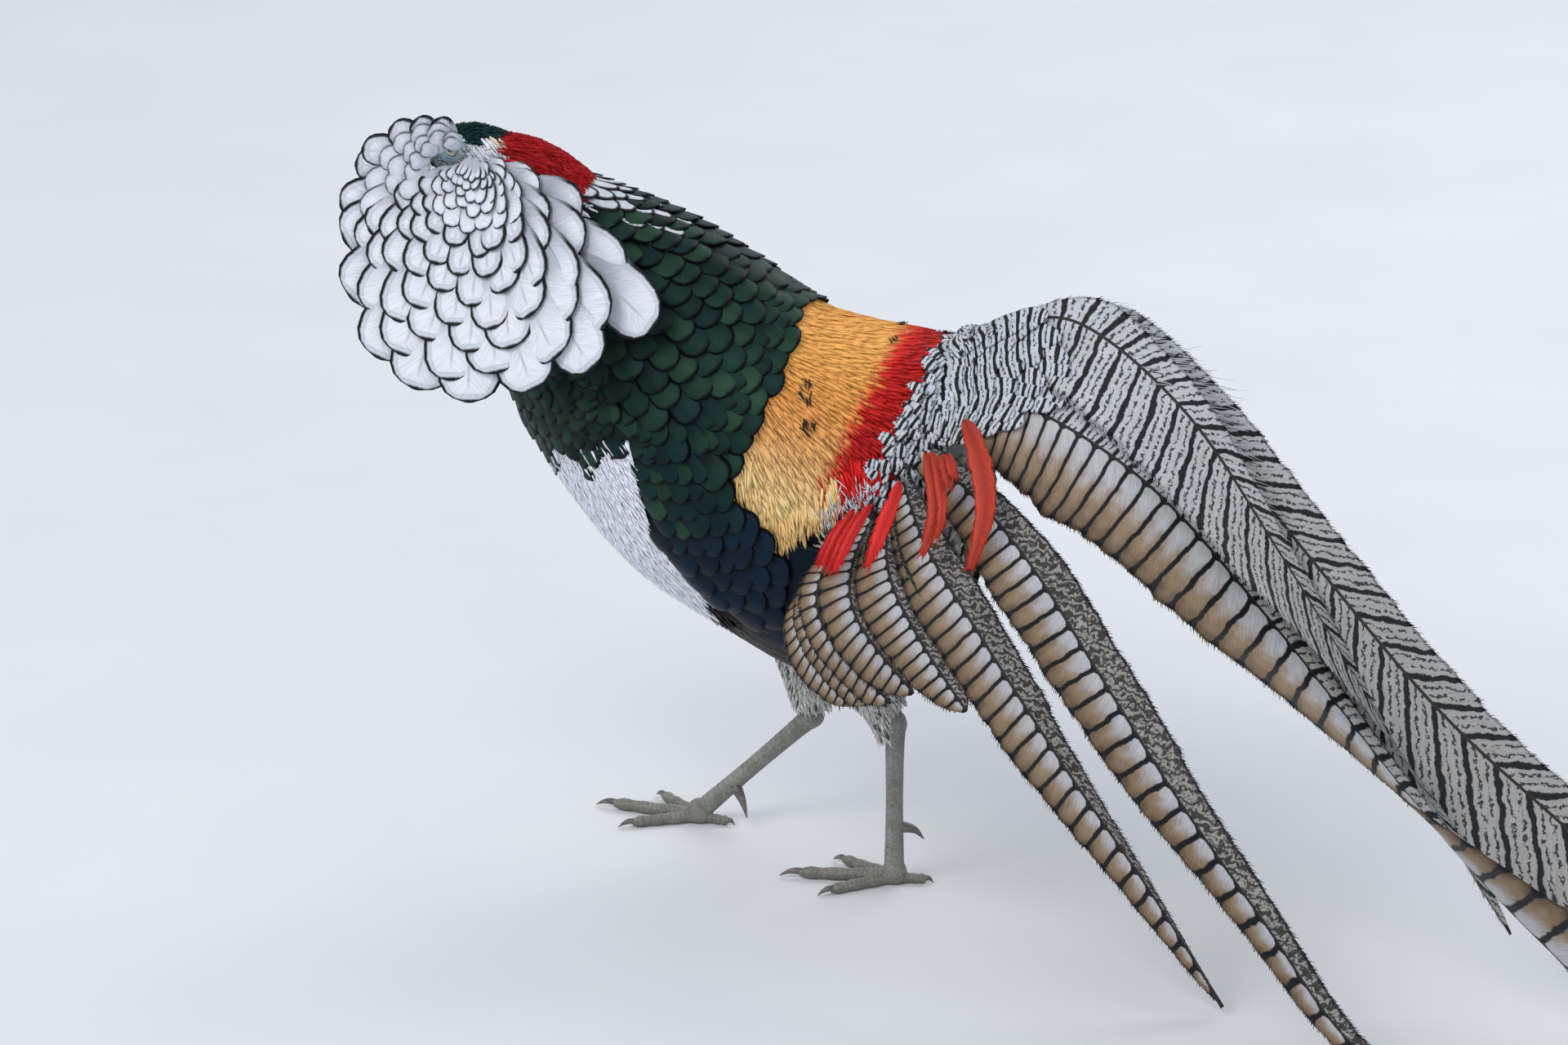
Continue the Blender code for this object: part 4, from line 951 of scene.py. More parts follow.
def coat_colour(t, angle):
    """The colour of the coat at places on the body."""
    m = np.abs(angle)
    colour = np.empty((*np.shape(m), 3))
    colour[:] = np.array(MOTTLED) * 0.7
    white = (m > side_low(t)) & (t > breast_end(m)) & (t < 5.2)
    colour[white] = WHITE
    rump_part = (t > 4.6) & (m < gold_low(t) + 4) & (t < red_end(m) + 0.6)
    colour[rump_part] = rump_colour(t, angle)[rump_part] * 0.8
    colour[is_green(t + 0.1, m)] = np.array(GREEN) * 0.6
    wing_part = (t > 3.75) & (t < 6.4) & (m > 86) & (m <= side_low(t) + 4)
    colour[wing_part] = np.array(BLUE) * 0.6
    colour[(t < 1.5) & (m < 100)] = WHITE
    return colour


# The pieces


def ring_faces(rows, sides):
    """The triangles between rings of points, and the points' numbers."""
    k = np.arange(rows * sides).reshape(rows, sides)
    right = np.roll(k, -1, 1)
    corners = ((k[:-1], right[:-1], right[1:]), (k[:-1], right[1:], k[1:]))
    return [np.stack([x.ravel() for x in three], 1) for three in corners], k, right


def facing_out(points, faces):
    """The faces of a closed mesh, turned round where they face inwards."""
    a, b, c = np.moveaxis((points - points.mean(0))[faces], 1, 0)
    return faces[:, ::-1] if np.einsum("ij,ij->i", a, np.cross(b, c)).sum() < 0 else faces


def closed_tube(rings):
    """A tube through rings of points, each end closed from its middle."""
    rows, sides = rings.shape[:2]
    faces, k, right = ring_faces(rows, sides)
    points = np.vstack([rings.reshape(-1, 3), rings[0].mean(0), rings[-1].mean(0)])
    faces.append(np.stack([np.full(sides, rows * sides), right[0], k[0]], 1))
    faces.append(np.stack([np.full(sides, rows * sides + 1), k[-1], right[-1]], 1))
    return {"points": points, "faces": facing_out(points, np.vstack(faces))}


def limb_mesh(surface, us, rows, sides, lift=None, base=WHITE, low=None):
    """A closed tube over a limb's surface, displaced by a function of its places."""
    u, a = np.meshgrid(np.linspace(*us, rows), np.arange(sides) * 360.0 / sides, indexing="ij")
    points = surface(u, a, np.zeros_like(u) if lift is None else lift(u, a))
    if low is not None:
        points[..., 2] = np.maximum(points[..., 2], low)
    colour = np.broadcast_to(np.asarray(base, float), (*u.shape, 3)).reshape(-1, 3)
    colour = np.vstack([colour, colour[0], colour[-1]])
    return {**closed_tube(points), "base": np.column_stack([colour, np.ones(len(colour))])}


def thigh_path(places):
    hip, ankle = np.array(places["hip"], float), np.array(places["ankle"], float)
    knee = hip + (ankle - hip) * KNEE_SHARE
    return [hip, hip + (knee - hip) * 0.5, knee, ankle + unit(knee - ankle) * 3.0], (28, 23, 15.5, 8.6)


def skin_surfaces():
    """What the skin covers: each surface, the skin's depth below it, its end, rows and sides, then where and
    how it's coloured."""
    surfaces = [
        (body_point, SKIN_DEPTH, 10.2, 100, 64, (0, 10.9, 110), 5.0, coat_colour),
        (crown_point, HEAD_SKIN_DEPTH, 4.9, 50, 48, (0, 4.9, 30), 10.0, np.array(GREEN) * 0.6),
    ]
    for places in (LEFT_LEG, RIGHT_LEG):
        limb = limb_surface(*thigh_path(places), 0.8)
        surfaces.append((limb, THIGH_SKIN_DEPTH, 3.1, 40, 32, (0, 3.1, 16), 20.0, np.array(MOTTLED)))
    return surfaces


def build_skin():
    """One skin under head, body and thighs, inside the feathers' depth, with the coat's own colours."""
    parts, marks, tints = [], [], []
    for surface, deep, end, rows, sides, along, step, tint in skin_surfaces():
        part = limb_mesh(lambda u, a, h: surface(u, (a + 180) % 360 - 180, -deep), (0.0, end), rows, sides)
        part.pop("base")
        parts.append(part)
        t, a = np.meshgrid(np.linspace(*along), np.arange(-180, 180, step), indexing="ij")
        marks.append((head_point if surface is crown_point else surface)(t, a, -deep).reshape(-1, 3))
        colour = tint(t, a) if callable(tint) else np.broadcast_to(tint, (*t.shape, 3))
        tints.append(colour.reshape(-1, 3))
    obj = bpy.data.objects.new("skin", mesh_of("skin_source", parts))
    bpy.context.scene.collection.objects.link(obj)
    remesh = obj.modifiers.new("remesh", "REMESH")
    remesh.mode, remesh.voxel_size, remesh.adaptivity = "VOXEL", SKIN_STEP, 0.0
    even = obj.modifiers.new("even", "SMOOTH")
    even.factor, even.iterations = 0.5, 3
    bpy.context.view_layer.update()
    made = bpy.data.meshes.new_from_object(obj.evaluated_get(bpy.context.evaluated_depsgraph_get()))
    obj.modifiers.clear()
    obj.data = made
    made.name = "skin"
    marks, tints = np.vstack(marks), np.vstack(tints)
    tree = KDTree(len(marks))
    for k, mark in enumerate(marks):
        tree.insert(mark, k)
    tree.balance()
    count = len(made.vertices)
    places = np.empty(count * 3, np.float32)
    made.vertices.foreach_get("co", places)
    near = [tree.find(place)[1] for place in places.reshape(-1, 3) / MM]
    colour = np.column_stack([tints[near], np.ones(count)])
    field = made.attributes.new("base", "FLOAT_COLOR", "POINT")
    field.data.foreach_set("color", colour.astype(np.float32).ravel())
    made.shade_smooth()
    made.materials.clear()
    made.materials.append(skin_finish())
    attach(obj, "root")
    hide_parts("head", "neck", "torso_front", "torso_rear", "tail_base", "thigh_left", "thigh_right")
    print("piece skin", len(made.polygons))


BODY_US, BODY_VS, BELLY_VS = (0.0, 11.0), (-180.0, 180.0), (88.0, 272.0)


def scale_colour(rng, count, base, lit=0.25):
    """Dark green feathers, some of them mixed towards the painted highlight green."""
    bright = (rng.random(count) < lit)[:, None] * rng.uniform(0.2, 0.8, count)[:, None]
    mixed = np.array(base) * (1 - bright) + np.array(HIGHLIGHT_GREEN) * bright
    return mixed * rng.uniform(0.8, 1.25, count)[:, None]


def mantle(rng):
    """Scaled green feathers from under the cape over mantle and breast."""
    def keep(t, a):
        m = np.abs(a)
        rear = t > mantle_end(m) - 0.42
        return is_green(t, m) & ~(rear & (m < 88)) & (m < 112)

    def in_front(t, a):
        m = np.abs(a)
        return (m > 84) & (t < breast_end(m) + 0.05 * np.sin(m * 0.7)) & (t > 1.8)

    u, v = scatter(body_point, (1.7, 5.2), BODY_VS, (9.6, 14.2), rng, keep, 0.16)
    m = np.abs(v)
    low = smooth((m - 84) / 46)
    heading = np.sign(v) * (16 * smooth((m - 20) / 60) - 12 * low)
    colour = scale_colour(rng, len(u), GREEN)
    back = feathered(body_point, u, v, heading, 27 - 7 * low, 9.8 - 3.2 * low, rng, outline=ROUND,
                     shape="scale", lifts=(-1.6, 3.0), base=colour, thick=0.45, camber=0.2, vary=0.07,
                     sway=4.0, tone=0.12, own_cells=True)
    u, v = scatter(body_point, (1.7, 5.2), (84.0, 276.0), (7.6, 10.6), rng, keep_under(in_front), 0.16)
    colour = scale_colour(rng, len(u), GREEN, 0.25)
    front = feathered(body_point, u, v, 0.0, 21.0, 7.0, rng, outline=ROUND, shape="scale", lifts=(-1.4, 2.8),
                      base=colour, thick=0.3, camber=0.16, vary=0.10, sway=8.0, tone=0.12, own_cells=True)
    return respread_mixed([back, front])


def mantle_fringe(rng):
    """The mantle's last rows, which overhang the rump."""
    parts = []
    for back, lift in ((0.44, 3.2), (0.23, 3.8), (0.02, 4.4)):
        line = np.linspace(-90, 90, 400)
        run = runs(body_point(mantle_end(np.abs(line)), line))
        places = np.arange(4.0 + back * 16, run[-1], 12.0)
        places = places + rng.normal(0, 1.0, len(places))
        v = np.interp(places, run, line)
        u = mantle_end(np.abs(v)) - back + rng.normal(0, 0.03, len(v))
        colour = scale_colour(rng, len(u), GREEN, 0.35)
        heading = np.sign(v) * 18 * smooth((np.abs(v) - 20) / 60)
        parts.append(feathered(body_point, u, v, heading, 26, 9.2, rng, outline=ROUND, shape="scale",
                               lifts=(lift - 4.6, lift), base=colour, thick=0.45, camber=0.2, vary=0.08,
                               sway=5.0, own_cells=True))
    return parts


def belly(rng):
    """Soft white feathers of the belly, their white raised as painted light from below."""
    def keep(t, a):
        m = np.abs(a)
        return (m > side_low(t) - 1) & (t > breast_end(m) - 0.15) & (t < 5.1 + 0.1 * np.sin(m * 0.4))

    parts = []
    layers = (((5.0, 5.0), 18.0, 3.4, (-1.5, 2.1)), ((3.0, 2.4), 14.0, 1.2, (-0.4, 2.7)))
    for pitch, length, half, lifts in layers:
        u, v = scatter(body_point, (2.8, 5.3), BELLY_VS, pitch, rng, keep_under(keep))
        # Painted light: the belly's white is raised above WHITE, as light bouncing up from below
        parts.append(feathered(body_point, u, v, 0.0, length, half, rng, outline=SLENDER, lifts=lifts, rows=5,
                               base=np.array(WHITE) * 1.22, thick=0.15, us=BODY_US, vs=BELLY_VS, sway=6.0,
                               tone=0.02, vary=0.2))
    return parts


def keep_under(keep):
    """The same test for angles that run on past the underside."""
    return lambda t, a: keep(t, (a + 180) % 360 - 180)


def rump(rng):
    """Silky gold feathers of back and rump, and the red ones beyond them."""
    def keep(t, a):
        m = np.abs(a)
        ragged = 3.0 * np.sin(t * 23 + 2 * np.sin(t * 7))
        behind = t > mantle_end(m) - 0.5
        return behind & (m < gold_low(t) + ragged) & (t < red_end(m) + 0.12 * np.sin(a * 0.9))

    parts = []
    layers = (((4.4, 3.6), 20.0, 2.6, (-0.8, 0.7)), ((2.6, 1.75), 15.0, 1.5, (0.2, 1.1)))
    for pitch, length, half, lifts in layers:
        u, v = scatter(body_point, (4.6, 9.4), (-100.0, 100.0), pitch, rng, keep)
        m = np.abs(v)
        heading = np.sign(v) * (58 * smooth(m / 90) + 4)
        length = length * (1 + 0.2 * smooth((m - 60) / 30))
        parts.append(feathered(body_point, u, v, heading, length, half, rng, outline=HAIR, lifts=lifts,
                               rows=4, us=BODY_US, vs=BODY_VS, sway=4.0, tone=0.03, thick=0.10, camber=0.08,
                               vary=0.2, bend=np.sign(v) * 14, tint=rump_colour, blur=0.07))
    return parts


def rump_edge(rng):
    """Longer straw-coloured tips where the gold ends over the wing, and red ones where it meets the tail."""
    t = np.concatenate([rng.uniform(5.05, 6.5, 240), rng.uniform(6.5, 7.3, 90)])
    low = gold_low(t) + 2.5 * np.sin(t * 23 + 2 * np.sin(t * 7)) + rng.uniform(-3, 6, len(t))
    parts = []
    for side in (1, -1):
        red = (t > 6.55)[:, None]
        mixed = rng.uniform(0.5, 1.0, len(t))[:, None]
        straw = np.array(GOLD) * (1 - mixed) + np.array(PALE_GOLD) * mixed
        colour = np.where(red, np.array(RED) * 1.05, straw)
        parts.append(feathered(body_point, t, side * low, side * 66.0, 15.0, 0.95, rng, outline=HAIR,
                               lifts=(0.2, 2.4), rows=5, base=colour, us=BODY_US, vs=BODY_VS, sway=7.0,
                               tone=0.05, thick=0.12))
    return parts


def rump_marks(rng):
    """A few places where the gold feathers' dark bases show, and the white tufts at the red band's end."""
    spots = ((5.55, 40, 9, SHAFT), (5.75, 54, 12, SHAFT), (6.75, 11, 6, SHAFT), (5.6, 44, 5, SHAFT),
             (6.62, 76, 30, WHITE), (6.85, 73, 26, WHITE), (7.05, 71, 18, WHITE), (6.42, 81, 24, WHITE))
    parts = []
    for t, angle, count, tint in spots:
        for side in (1, -1):
            dark = tint == SHAFT
            u = t + rng.normal(0, 0.05 if dark else 0.10, count)
            v = side * (angle + rng.normal(0, 1.6 if dark else 2.6, count))
            length, half, lifts = (4.5, 0.4, (1.8, 2.4)) if dark else (7.5, 0.55, (0.6, 2.8))
            parts.append(feathered(body_point, u, v, side * 60.0, length, half, rng, outline=HAIR,
                                   lifts=lifts, rows=4, base=tint, us=BODY_US, vs=BODY_VS, sway=18.0))
    return parts


def lower_body(rng):
    """Grey, mottled down of the lower belly, the flanks under the wings and the tail's root; the down under
    the wings is almost black, as painted shade.
    """
    def keep(t, a):
        m = np.abs(a)
        low = np.interp(t, (5.0, 5.6, 7.0, 8.5), (120, 104, 84, 84))
        return (m > low) & (t > 5.05)

    u, v = scatter(body_point, (5.0, 10.6), BODY_VS, (4.0, 3.6), rng, keep)
    mottle = rng.random(len(u))
    tone = np.where(mottle < 0.20, 0.16, np.where(mottle < 0.5, 0.8, 1.3))[:, None]
    # Painted shade: the down that lies under the wing is made almost black
    hidden = ((u < 6.3) & (np.abs(v) < 158))[:, None]
    colour = np.where(hidden, np.array((0.030, 0.025, 0.022)), np.array(MOTTLED) * tone)
    return feathered(body_point, u, v, 0.0, 13.0, 2.2, rng, lifts=(-1.5, 2.4), rows=4, base=colour,
                     us=BODY_US, vs=BODY_VS, sway=14.0, tone=0.12, vary=0.2)


def thighs(rng):
    """Pale mottled down of the thighs, which hangs over the front of the left ankle."""
    parts = []
    ankle = np.array(LEFT_LEG["ankle"], float)
    hangs = [ankle + (-10, 1, 17), ankle + (-6, 1, 3), ankle + (-2.4, 0.5, -13)]
    cuff = limb_surface(hangs, (11, 8.0, 4.2), 0.8)
    surfaces = [(limb_surface(*thigh_path(places), 0.8), 3.05) for places in (LEFT_LEG, RIGHT_LEG)]
    for surface, end in (*surfaces, (cuff, 1.98)):
        for pitch, length, half in (((3.2, 2.8), 12.0, 2.2), ((2.2, 1.7), 8.0, 0.8)):
            u, v = scatter(surface, (0.1, end), (0.0, 360.0), pitch, rng)
            mottle = rng.random(len(u))
            tone = np.where(mottle < 0.09, 0.20, np.where(mottle < 0.4, 1.1, 1.5))[:, None]
            size = 1 - 0.4 * smooth((u - 1.0) / 2.0)
            parts.append(feathered(surface, u, v, 0.0, length * size, half * size, rng, lifts=(-0.8, 1.4),
                                   rows=4, base=np.array(MOTTLED) * tone, us=(0.0, 3.1), vs=(0.0, 360.0),
                                   sway=10.0, tone=0.08))
    return parts


def head_feathers(rng):
    """Small glossy feathers of crown, face and throat, the bare skin round the eye left free."""
    eyes = np.array([[EYE_AT[0], MID_Y + side * (EYE_SIDE + 4), EYE_AT[1]] for side in (-1, 1)])

    def keep(t, a):
        places = head_point(t, a)
        clear = np.min(np.linalg.norm(places[:, None] - eyes, axis=-1), 1) > 8.2
        return clear & ((np.abs(a) < 58) | (t > 1.9))

    u, v = scatter(crown_point, (0.0, 4.9), BODY_VS, (1.6, 1.4), rng, keep)
    size = 1.0 - 0.5 * smooth((u - 1.5) / 3.0)
    crown = np.abs(v) < 62
    colour = np.where(crown[:, None], np.array(GREEN) * 2.0, np.array(GREEN) * 0.7)
    off = np.min(np.linalg.norm(head_point(u, v)[:, None] - eyes, axis=-1), 1)
    pale = (np.where(crown, 0.0, 1 - smooth((off - 12) / 5)) * (v > 0))[:, None]
    colour = colour * (1 - pale) + np.array((0.42, 0.46, 0.46)) * pale
    return [feathered(crown_point, u, v, 180.0, 5.6 * size, 1.0 * size, rng, lifts=(-0.6, 0.8), rows=4,
                      base=colour, us=(0.0, 5.0), vs=BODY_VS, sway=8.0, tone=0.16)]


def cheek_feathers(rng):
    """Fine white feathers on the sides of the nape, where the cape starts, yellowish next to the crest."""
    def keep(t, a):
        return (np.abs(a) > 44) & (t < 1.9 - 0.5 * (np.abs(a) < 70))

    parts = []
    for pitch, length, half in (((2.4, 2.2), 9.0, 1.7), ((2.0, 1.5), 8.0, 0.8)):
        u, v = scatter(head_point, (0.25, 2.0), BODY_VS, pitch, rng, keep)
        near = (1 - smooth((np.abs(v) - 44) / 12))[:, None]
        colour = np.array(WHITE) * (1 - near) + np.array((0.74, 0.68, 0.52)) * near
        parts.append(feathered(head_point, u, v, np.sign(v) * 150.0, length, half, rng, lifts=(-0.6, 0.9),
                               rows=4, base=colour, us=(-0.5, 5.0), vs=BODY_VS, sway=4.0, tone=0.03,
                               thick=0.15))
    return parts


def crest(rng):
    """Long crimson hair-like feathers over the nape."""
    parts = []
    layers = (((3.4, 1.9), 1.3, 18.0, (-1.2, 1.9)), ((2.4, 1.1), 0.45, 19.0, (0.0, 2.7)))
    for pitch, half, length, lifts in layers:
        u, v = scatter(crest_point, (-4.0, 53.0), (-20.0, 14.0), pitch, rng,
                       lambda run, across: np.abs(across + 1) < 16 - 0.16 * np.maximum(run - 26, 0))
        colour = np.array(CRIMSON) * (0.65 + 0.75 * rng.random(len(u)))[:, None]
        parts.append(feathered(crest_point, u, v, np.sign(v) * 3.0, length, half, rng, outline=SLENDER,
                               lifts=lifts, rows=6, base=colour, us=(-8.0, 60.0), vs=(-20.0, 15.0),
                               steps=(0.5, 0.5), sway=5.0, tone=0.1))
    return parts


def crest_bed():
    """The crest's own body, which fills it below the strands."""
    middle = [crest_point(run, 0.0, -5.5) for run in (-6, 4, 16, 30, 42)]
    surface = limb_surface(middle, (5.0, 7.0, 7.0, 6.0, 3.0), 1.25)
    return limb_mesh(surface, (0.0, 4.0), 30, 20, base=np.array(CRIMSON) * 0.5)


def left_cape(surface, rng):
    """White feathers with black rims, in staggered rows that ring the crest's root and grow outwards. Those
    ahead of the eye stand further apart."""
    parts = []
    eye = np.array(EYE_AT)
    shares = np.array([s for s, _ in ROUND])
    for rows, first, last in ((CAPE_ROWS, 22.0, 189.0), (FACE_ROWS, -62.0, 22.0)):
        for k, tip in enumerate(rows):
            count = int(round((last - first) / (18.5 if first > 0 else 15.0)))
            pitch = (last - first) / count
            angle = first + pitch * (np.arange(count) + (0.75 if k % 2 else 0.25)) + rng.normal(0, 0.8, count)
            end = surface(tip, angle)
            under_crest = end[:, 2] < 349.0 - 0.46 * (end[:, 0] + 173.0)
            off_eye = np.hypot(*(end[:, ::2] - eye).T) > 9.0
            clear = np.interp(angle, *CLEAR_OF_EYE)
            beyond = np.interp(angle, CAPE_ANGLES, CAPE_REACH) * tip > clear + 4.0
            angle = angle[(under_crest | (angle < 90)) & off_eye & beyond]
            count = len(angle)
            reach = np.interp(angle, CAPE_ANGLES, CAPE_REACH)
            root = np.full(count, max(0.02, tip * 0.55 - 0.05))
            ahead = np.maximum(root, np.interp(angle, *CLEAR_OF_EYE) / reach)
            ends = tip + rng.normal(0, 0.010, count)
            place = ahead[:, None] + (ends - ahead)[:, None] * shares
            turned_by = angle[:, None] + rng.normal(0, 1.5, count)[:, None] * shares
            layer = k * len(CAPE_ROWS) / len(rows)
            lift = 0.4 + 0.46 * layer + (shares - 1.0) * (1.8 + 0.06 * layer)
            lift = lift + 1.5 * smooth((shares - 0.5) / 0.5) + rng.normal(0, 0.25, count)[:, None] * shares
            path = surface(place, turned_by, lift)
            up = unit(surface(place, turned_by, lift + 1.0) - path)
            up = unit(up + 0.30 * unit(surface(place + 0.05, turned_by, lift) - path))
            arc = np.linalg.norm(surface(tip, angle + pitch / 2) - surface(tip, angle - pitch / 2), axis=-1)
            wide = np.minimum(0.57 * arc * (1 + rng.normal(0, 0.04, count)), 17.0) + 0.4
            half = wide[:, None] * profile(ROUND, shares)
            finish = 1 if tip < 0.35 else 2 if first < 0 and k > 0 else 0
            parts.append(vanes(path, up, half, "plume", None, 0.4, 0.11, seed=rng.uniform(0, 100, count),
                               material=finish))
    return respread(parts, "plume", len(ROUND))


def respread(parts, shape, rows):
    """Gives the feathers of several parts cells of one common map."""
    columns = len(COLUMNS[shape])
    each = rows * (2 * columns - 2 if shape != "tuft" else columns)
    counts = [len(p["points"]) // each for p in parts]
    first = 0
    for part, count in zip(parts, counts):
        old, new = cells(count), cells(count, first, sum(counts))
        local = (part["bake"].reshape(count, each, 2) - old[:, None, :2]) / old[:, None, 2:]
        part["bake"] = (new[:, None, :2] + local * new[:, None, 2:]).reshape(-1, 2)
        first += count
    return parts


def right_cape(rng):
    """The cape's other half, which lies back over nape and far side of the neck."""
    parts = []
    tips = (2.75, 2.45, 2.17, 1.9, 1.65, 1.42, 1.2, 1.0, 0.8, 0.62, 0.45)
    for k, tip in enumerate(tips):
        count = 13 - k // 3
        pitch = 150 / count
        angle = 26 - pitch * (np.arange(count) + (0.75 if k % 2 else 0.25))
        angle = angle[(tip > 1.3) | (np.abs(angle + 1) > 25 - 8 * tip)]
        count = len(angle)
        shares = np.array([s for s, _ in ROUND])
        root = tip * 0.5 - 0.25
        place = root + (tip - root) * shares[None] + rng.normal(0, 0.02, count)[:, None] * shares
        lift = 0.8 + 0.28 * k + (shares - 1.0) * 2.2 + 1.0 * smooth((shares - 0.6) / 0.4)
        place, turn, lift = np.broadcast_arrays(place, angle[:, None], lift[None])
        path = body_point(place, turn, lift)
        up = unit(body_point(place, turn, lift + 1.0) - path)
        arc = np.linalg.norm(body_point(tip, angle + pitch / 2) - body_point(tip, angle - pitch / 2), axis=-1)
        half = (0.60 * arc)[:, None] * profile(ROUND, shares)
        parts.append(vanes(path, up, half, "plume", None, 0.4, 0.12, seed=rng.uniform(0, 100, count)))
    return respread(parts, "plume", len(ROUND))


def neck_feathers(rng):
    """Short feathers of the neck under the cape: white behind, dark green in front."""
    u, v = scatter(body_point, (0.0, 1.9), BODY_VS, (4.2, 4.0), rng)
    front = np.abs(v) > 96
    colour = np.where(front[:, None], np.array(GREEN) * 0.6, WHITE)
    return feathered(body_point, u, v, 0.0, 10.0, 2.6, rng, lifts=(-1.0, 1.3), rows=4, base=colour,
                     us=BODY_US, vs=BODY_VS, sway=8.0)


def wing_point(t, angle, lift=0.0):
    t = np.asarray(t, float)
    stands = np.interp(t, (3.5, 4.1, 4.7, 5.3, 6.0, 6.6), (0.2, 2.6, 4.4, 4.4, 3.0, 2.0))
    return body_point(t, angle, np.asarray(lift, float) + stands)


def wing(side, rng):
    """A closed wing: flight feathers under rows of rounded coverts, with green scapulars over their front."""
    parts = []
    turns = np.linspace(157, 124, 11)
    u = np.linspace(6.2, 6.9, 11)
    dark = np.array((0.020, 0.016, 0.014))
    parts.append(feathered(body_point, u, turns * side, -3.0 * side, 46.0, 5.4, rng, outline=POINTED,
                           shape="scale", lifts=(1.2, 5.2), base=dark, thick=0.5, camber=0.12, vary=0.02,
                           sway=1.0, own_cells=True, material=1))
    turns = np.linspace(134, 94, 10)
    u = np.linspace(6.25, 6.75, 10)
    parts.append(feathered(body_point, u, turns * side, -4.0 * side, 50.0, 9.5, rng, outline=ROUND,
                           shape="scale", lifts=(-1.5, 5.2), base=np.array(BLUE) * 0.8, thick=0.5,
                           camber=0.12, vary=0.02, sway=1.5, own_cells=True))

    def keep(t, a):
        m = np.abs(a)
        below = np.minimum(side_low(t) - 5, np.interp(t, (4.6, 5.1, 5.5, 6.1), (117, 124, 128, 126)))
        return (m > np.interp(t, (3.8, 5.0, 6.0), (80, 80, 92))) & (m < below) & (t > 3.75)

    spread = (70.0, 140.0) if side > 0 else (-140.0, -70.0)
    bands = ((3.7, 4.75, 0.0, (8.0, 11.5), 8.0), (4.75, 5.35, 0.8, (9.0, 14.0), 10.0),
             (5.35, 6.1, 1.4, (10.0, 16.0), 11.5))
    for start, end, lift, pitch, half in bands:
        u, v = scatter(wing_point, (start, end), spread, pitch, rng, keep, 0.10)
        m = np.abs(v)
        blue = smooth((u + (m - 96) / 34 - 4.75) * 1.8)[:, None]
        colour = scale_colour(rng, len(u), GREEN, 0.4) * (1 - blue) + np.array(BLUE) * blue
        heading = side * np.interp(u, (3.8, 5.0, 6.0), (22, 10, 2))
        parts.append(feathered(wing_point, u, v, heading, 26.0, half, rng, outline=ROUND, shape="scale",
                               lifts=(lift - 3.4, lift + 1.6), base=colour, thick=0.5, camber=0.2, vary=0.06,
                               sway=4.0, own_cells=True))
    return respread_mixed(parts)


def respread_mixed(parts):
    """Gives parts with feathers of different make one band each of a common map."""
    for k, part in enumerate(parts):
        part["bake"] = part["bake"] * np.array([1.0, 0.98 / len(parts)]) + np.array([0.0, k / len(parts)])
    return parts


def right_shafts():
    """The far side's shafts: the first shows beside the central one, the others are folded behind it."""
    shafts = [RIGHT_FIRST_SHAFT]
    lead = through(RIGHT_FIRST_SHAFT, np.arange(6.0))
    for (length, move), root in zip(RIGHT_HIDDEN, RIGHT_ROOTS):
        path = lead + np.outer(smooth(np.linspace(0, 1, 6) * 1.4) * move, HIDDEN_WAY)
        path += (np.array(root) - lead[0]) * (1 - smooth(np.linspace(0, 1.6, 6)))[:, None]
        shafts.append(resample(path, 5, length)[0])
    return shafts


def bar_phase(along, across, spacing, slant):
    """How many bars lie between the root and each point of a web, along lines that leave the shaft aslant."""
    first, growth = spacing
    leaves = along
    for _ in range(4):
        leaves = along - slant(leaves) * across
    return np.log1p(np.maximum(leaves, -40) * growth / first) / growth


def central_slant(run):
    return np.interp(run, (10, 90, 150, 230), (-1.0, 0.0, 0.6, 1.2))


def side_slant(run):
    return 0.26 + 0 * run


def fringe(edge, out, way, up, fields, rng, step, length, slant, patch, material, half=0.28):
    """Loose barbs along an edge: edge, out, way and up are one row a place, and fields holds each row's
    across, along, side and phase."""
    run = runs(edge)
    places = np.arange(step, run[-1] * 0.985, step)
    places = places + rng.uniform(-0.4, 0.4, len(places)) * step
    count = len(places)

    def at(table):
        return np.stack([np.interp(places, run, table[:, k]) for k in range(table.shape[1])], 1)

    start, out, way, up, data = at(edge), unit(at(out)), unit(at(way)), unit(at(up)), at(fields)
    a = np.radians(slant + rng.normal(0, 7, count))[:, None, None]
    reach = np.interp(places / run[-1], *length) * np.maximum(0.3, 1 + rng.normal(0, 0.35, count))
    shares = np.array((-0.9, -0.25, 0.4, 1.0))[None, :, None]
    direction = out[:, None] * np.sin(a) + way[:, None] * np.cos(a)
    path = start[:, None] + direction * reach[:, None, None] * shares
    path = path + up[:, None] * (0.12 + rng.normal(0, 0.5, count)[:, None, None] * np.maximum(shares, 0) ** 2)
    thin = half * np.array((0.8, 1.0, 0.7, 0.15))
    one = np.ones(count)
    low = patch[1] + patch[3] * places / run[-1]
    cell = np.column_stack([patch[0] * one, low, patch[2] * one, PATCH * one])
    part = vanes(path, np.repeat(up[:, None], 4, 1), thin[None], "tuft", None, 0.22, 0.1,
                 seed=rng.uniform(0, 100, count), patch=cell, material=material)
    rows = np.repeat(np.arange(count), 12)
    part["vane"] = np.column_stack([data[rows, 0], data[rows, 1], part["vane"][:, 2]])
    part["spot"] = np.column_stack([data[rows, 2], np.full(len(rows), 0.5), data[rows, 3]])
    part["edge"] = np.full((len(rows), 1), 0.8)
    part["points"][:, 2] = np.maximum(part["points"][:, 2], 0.2)
    return part


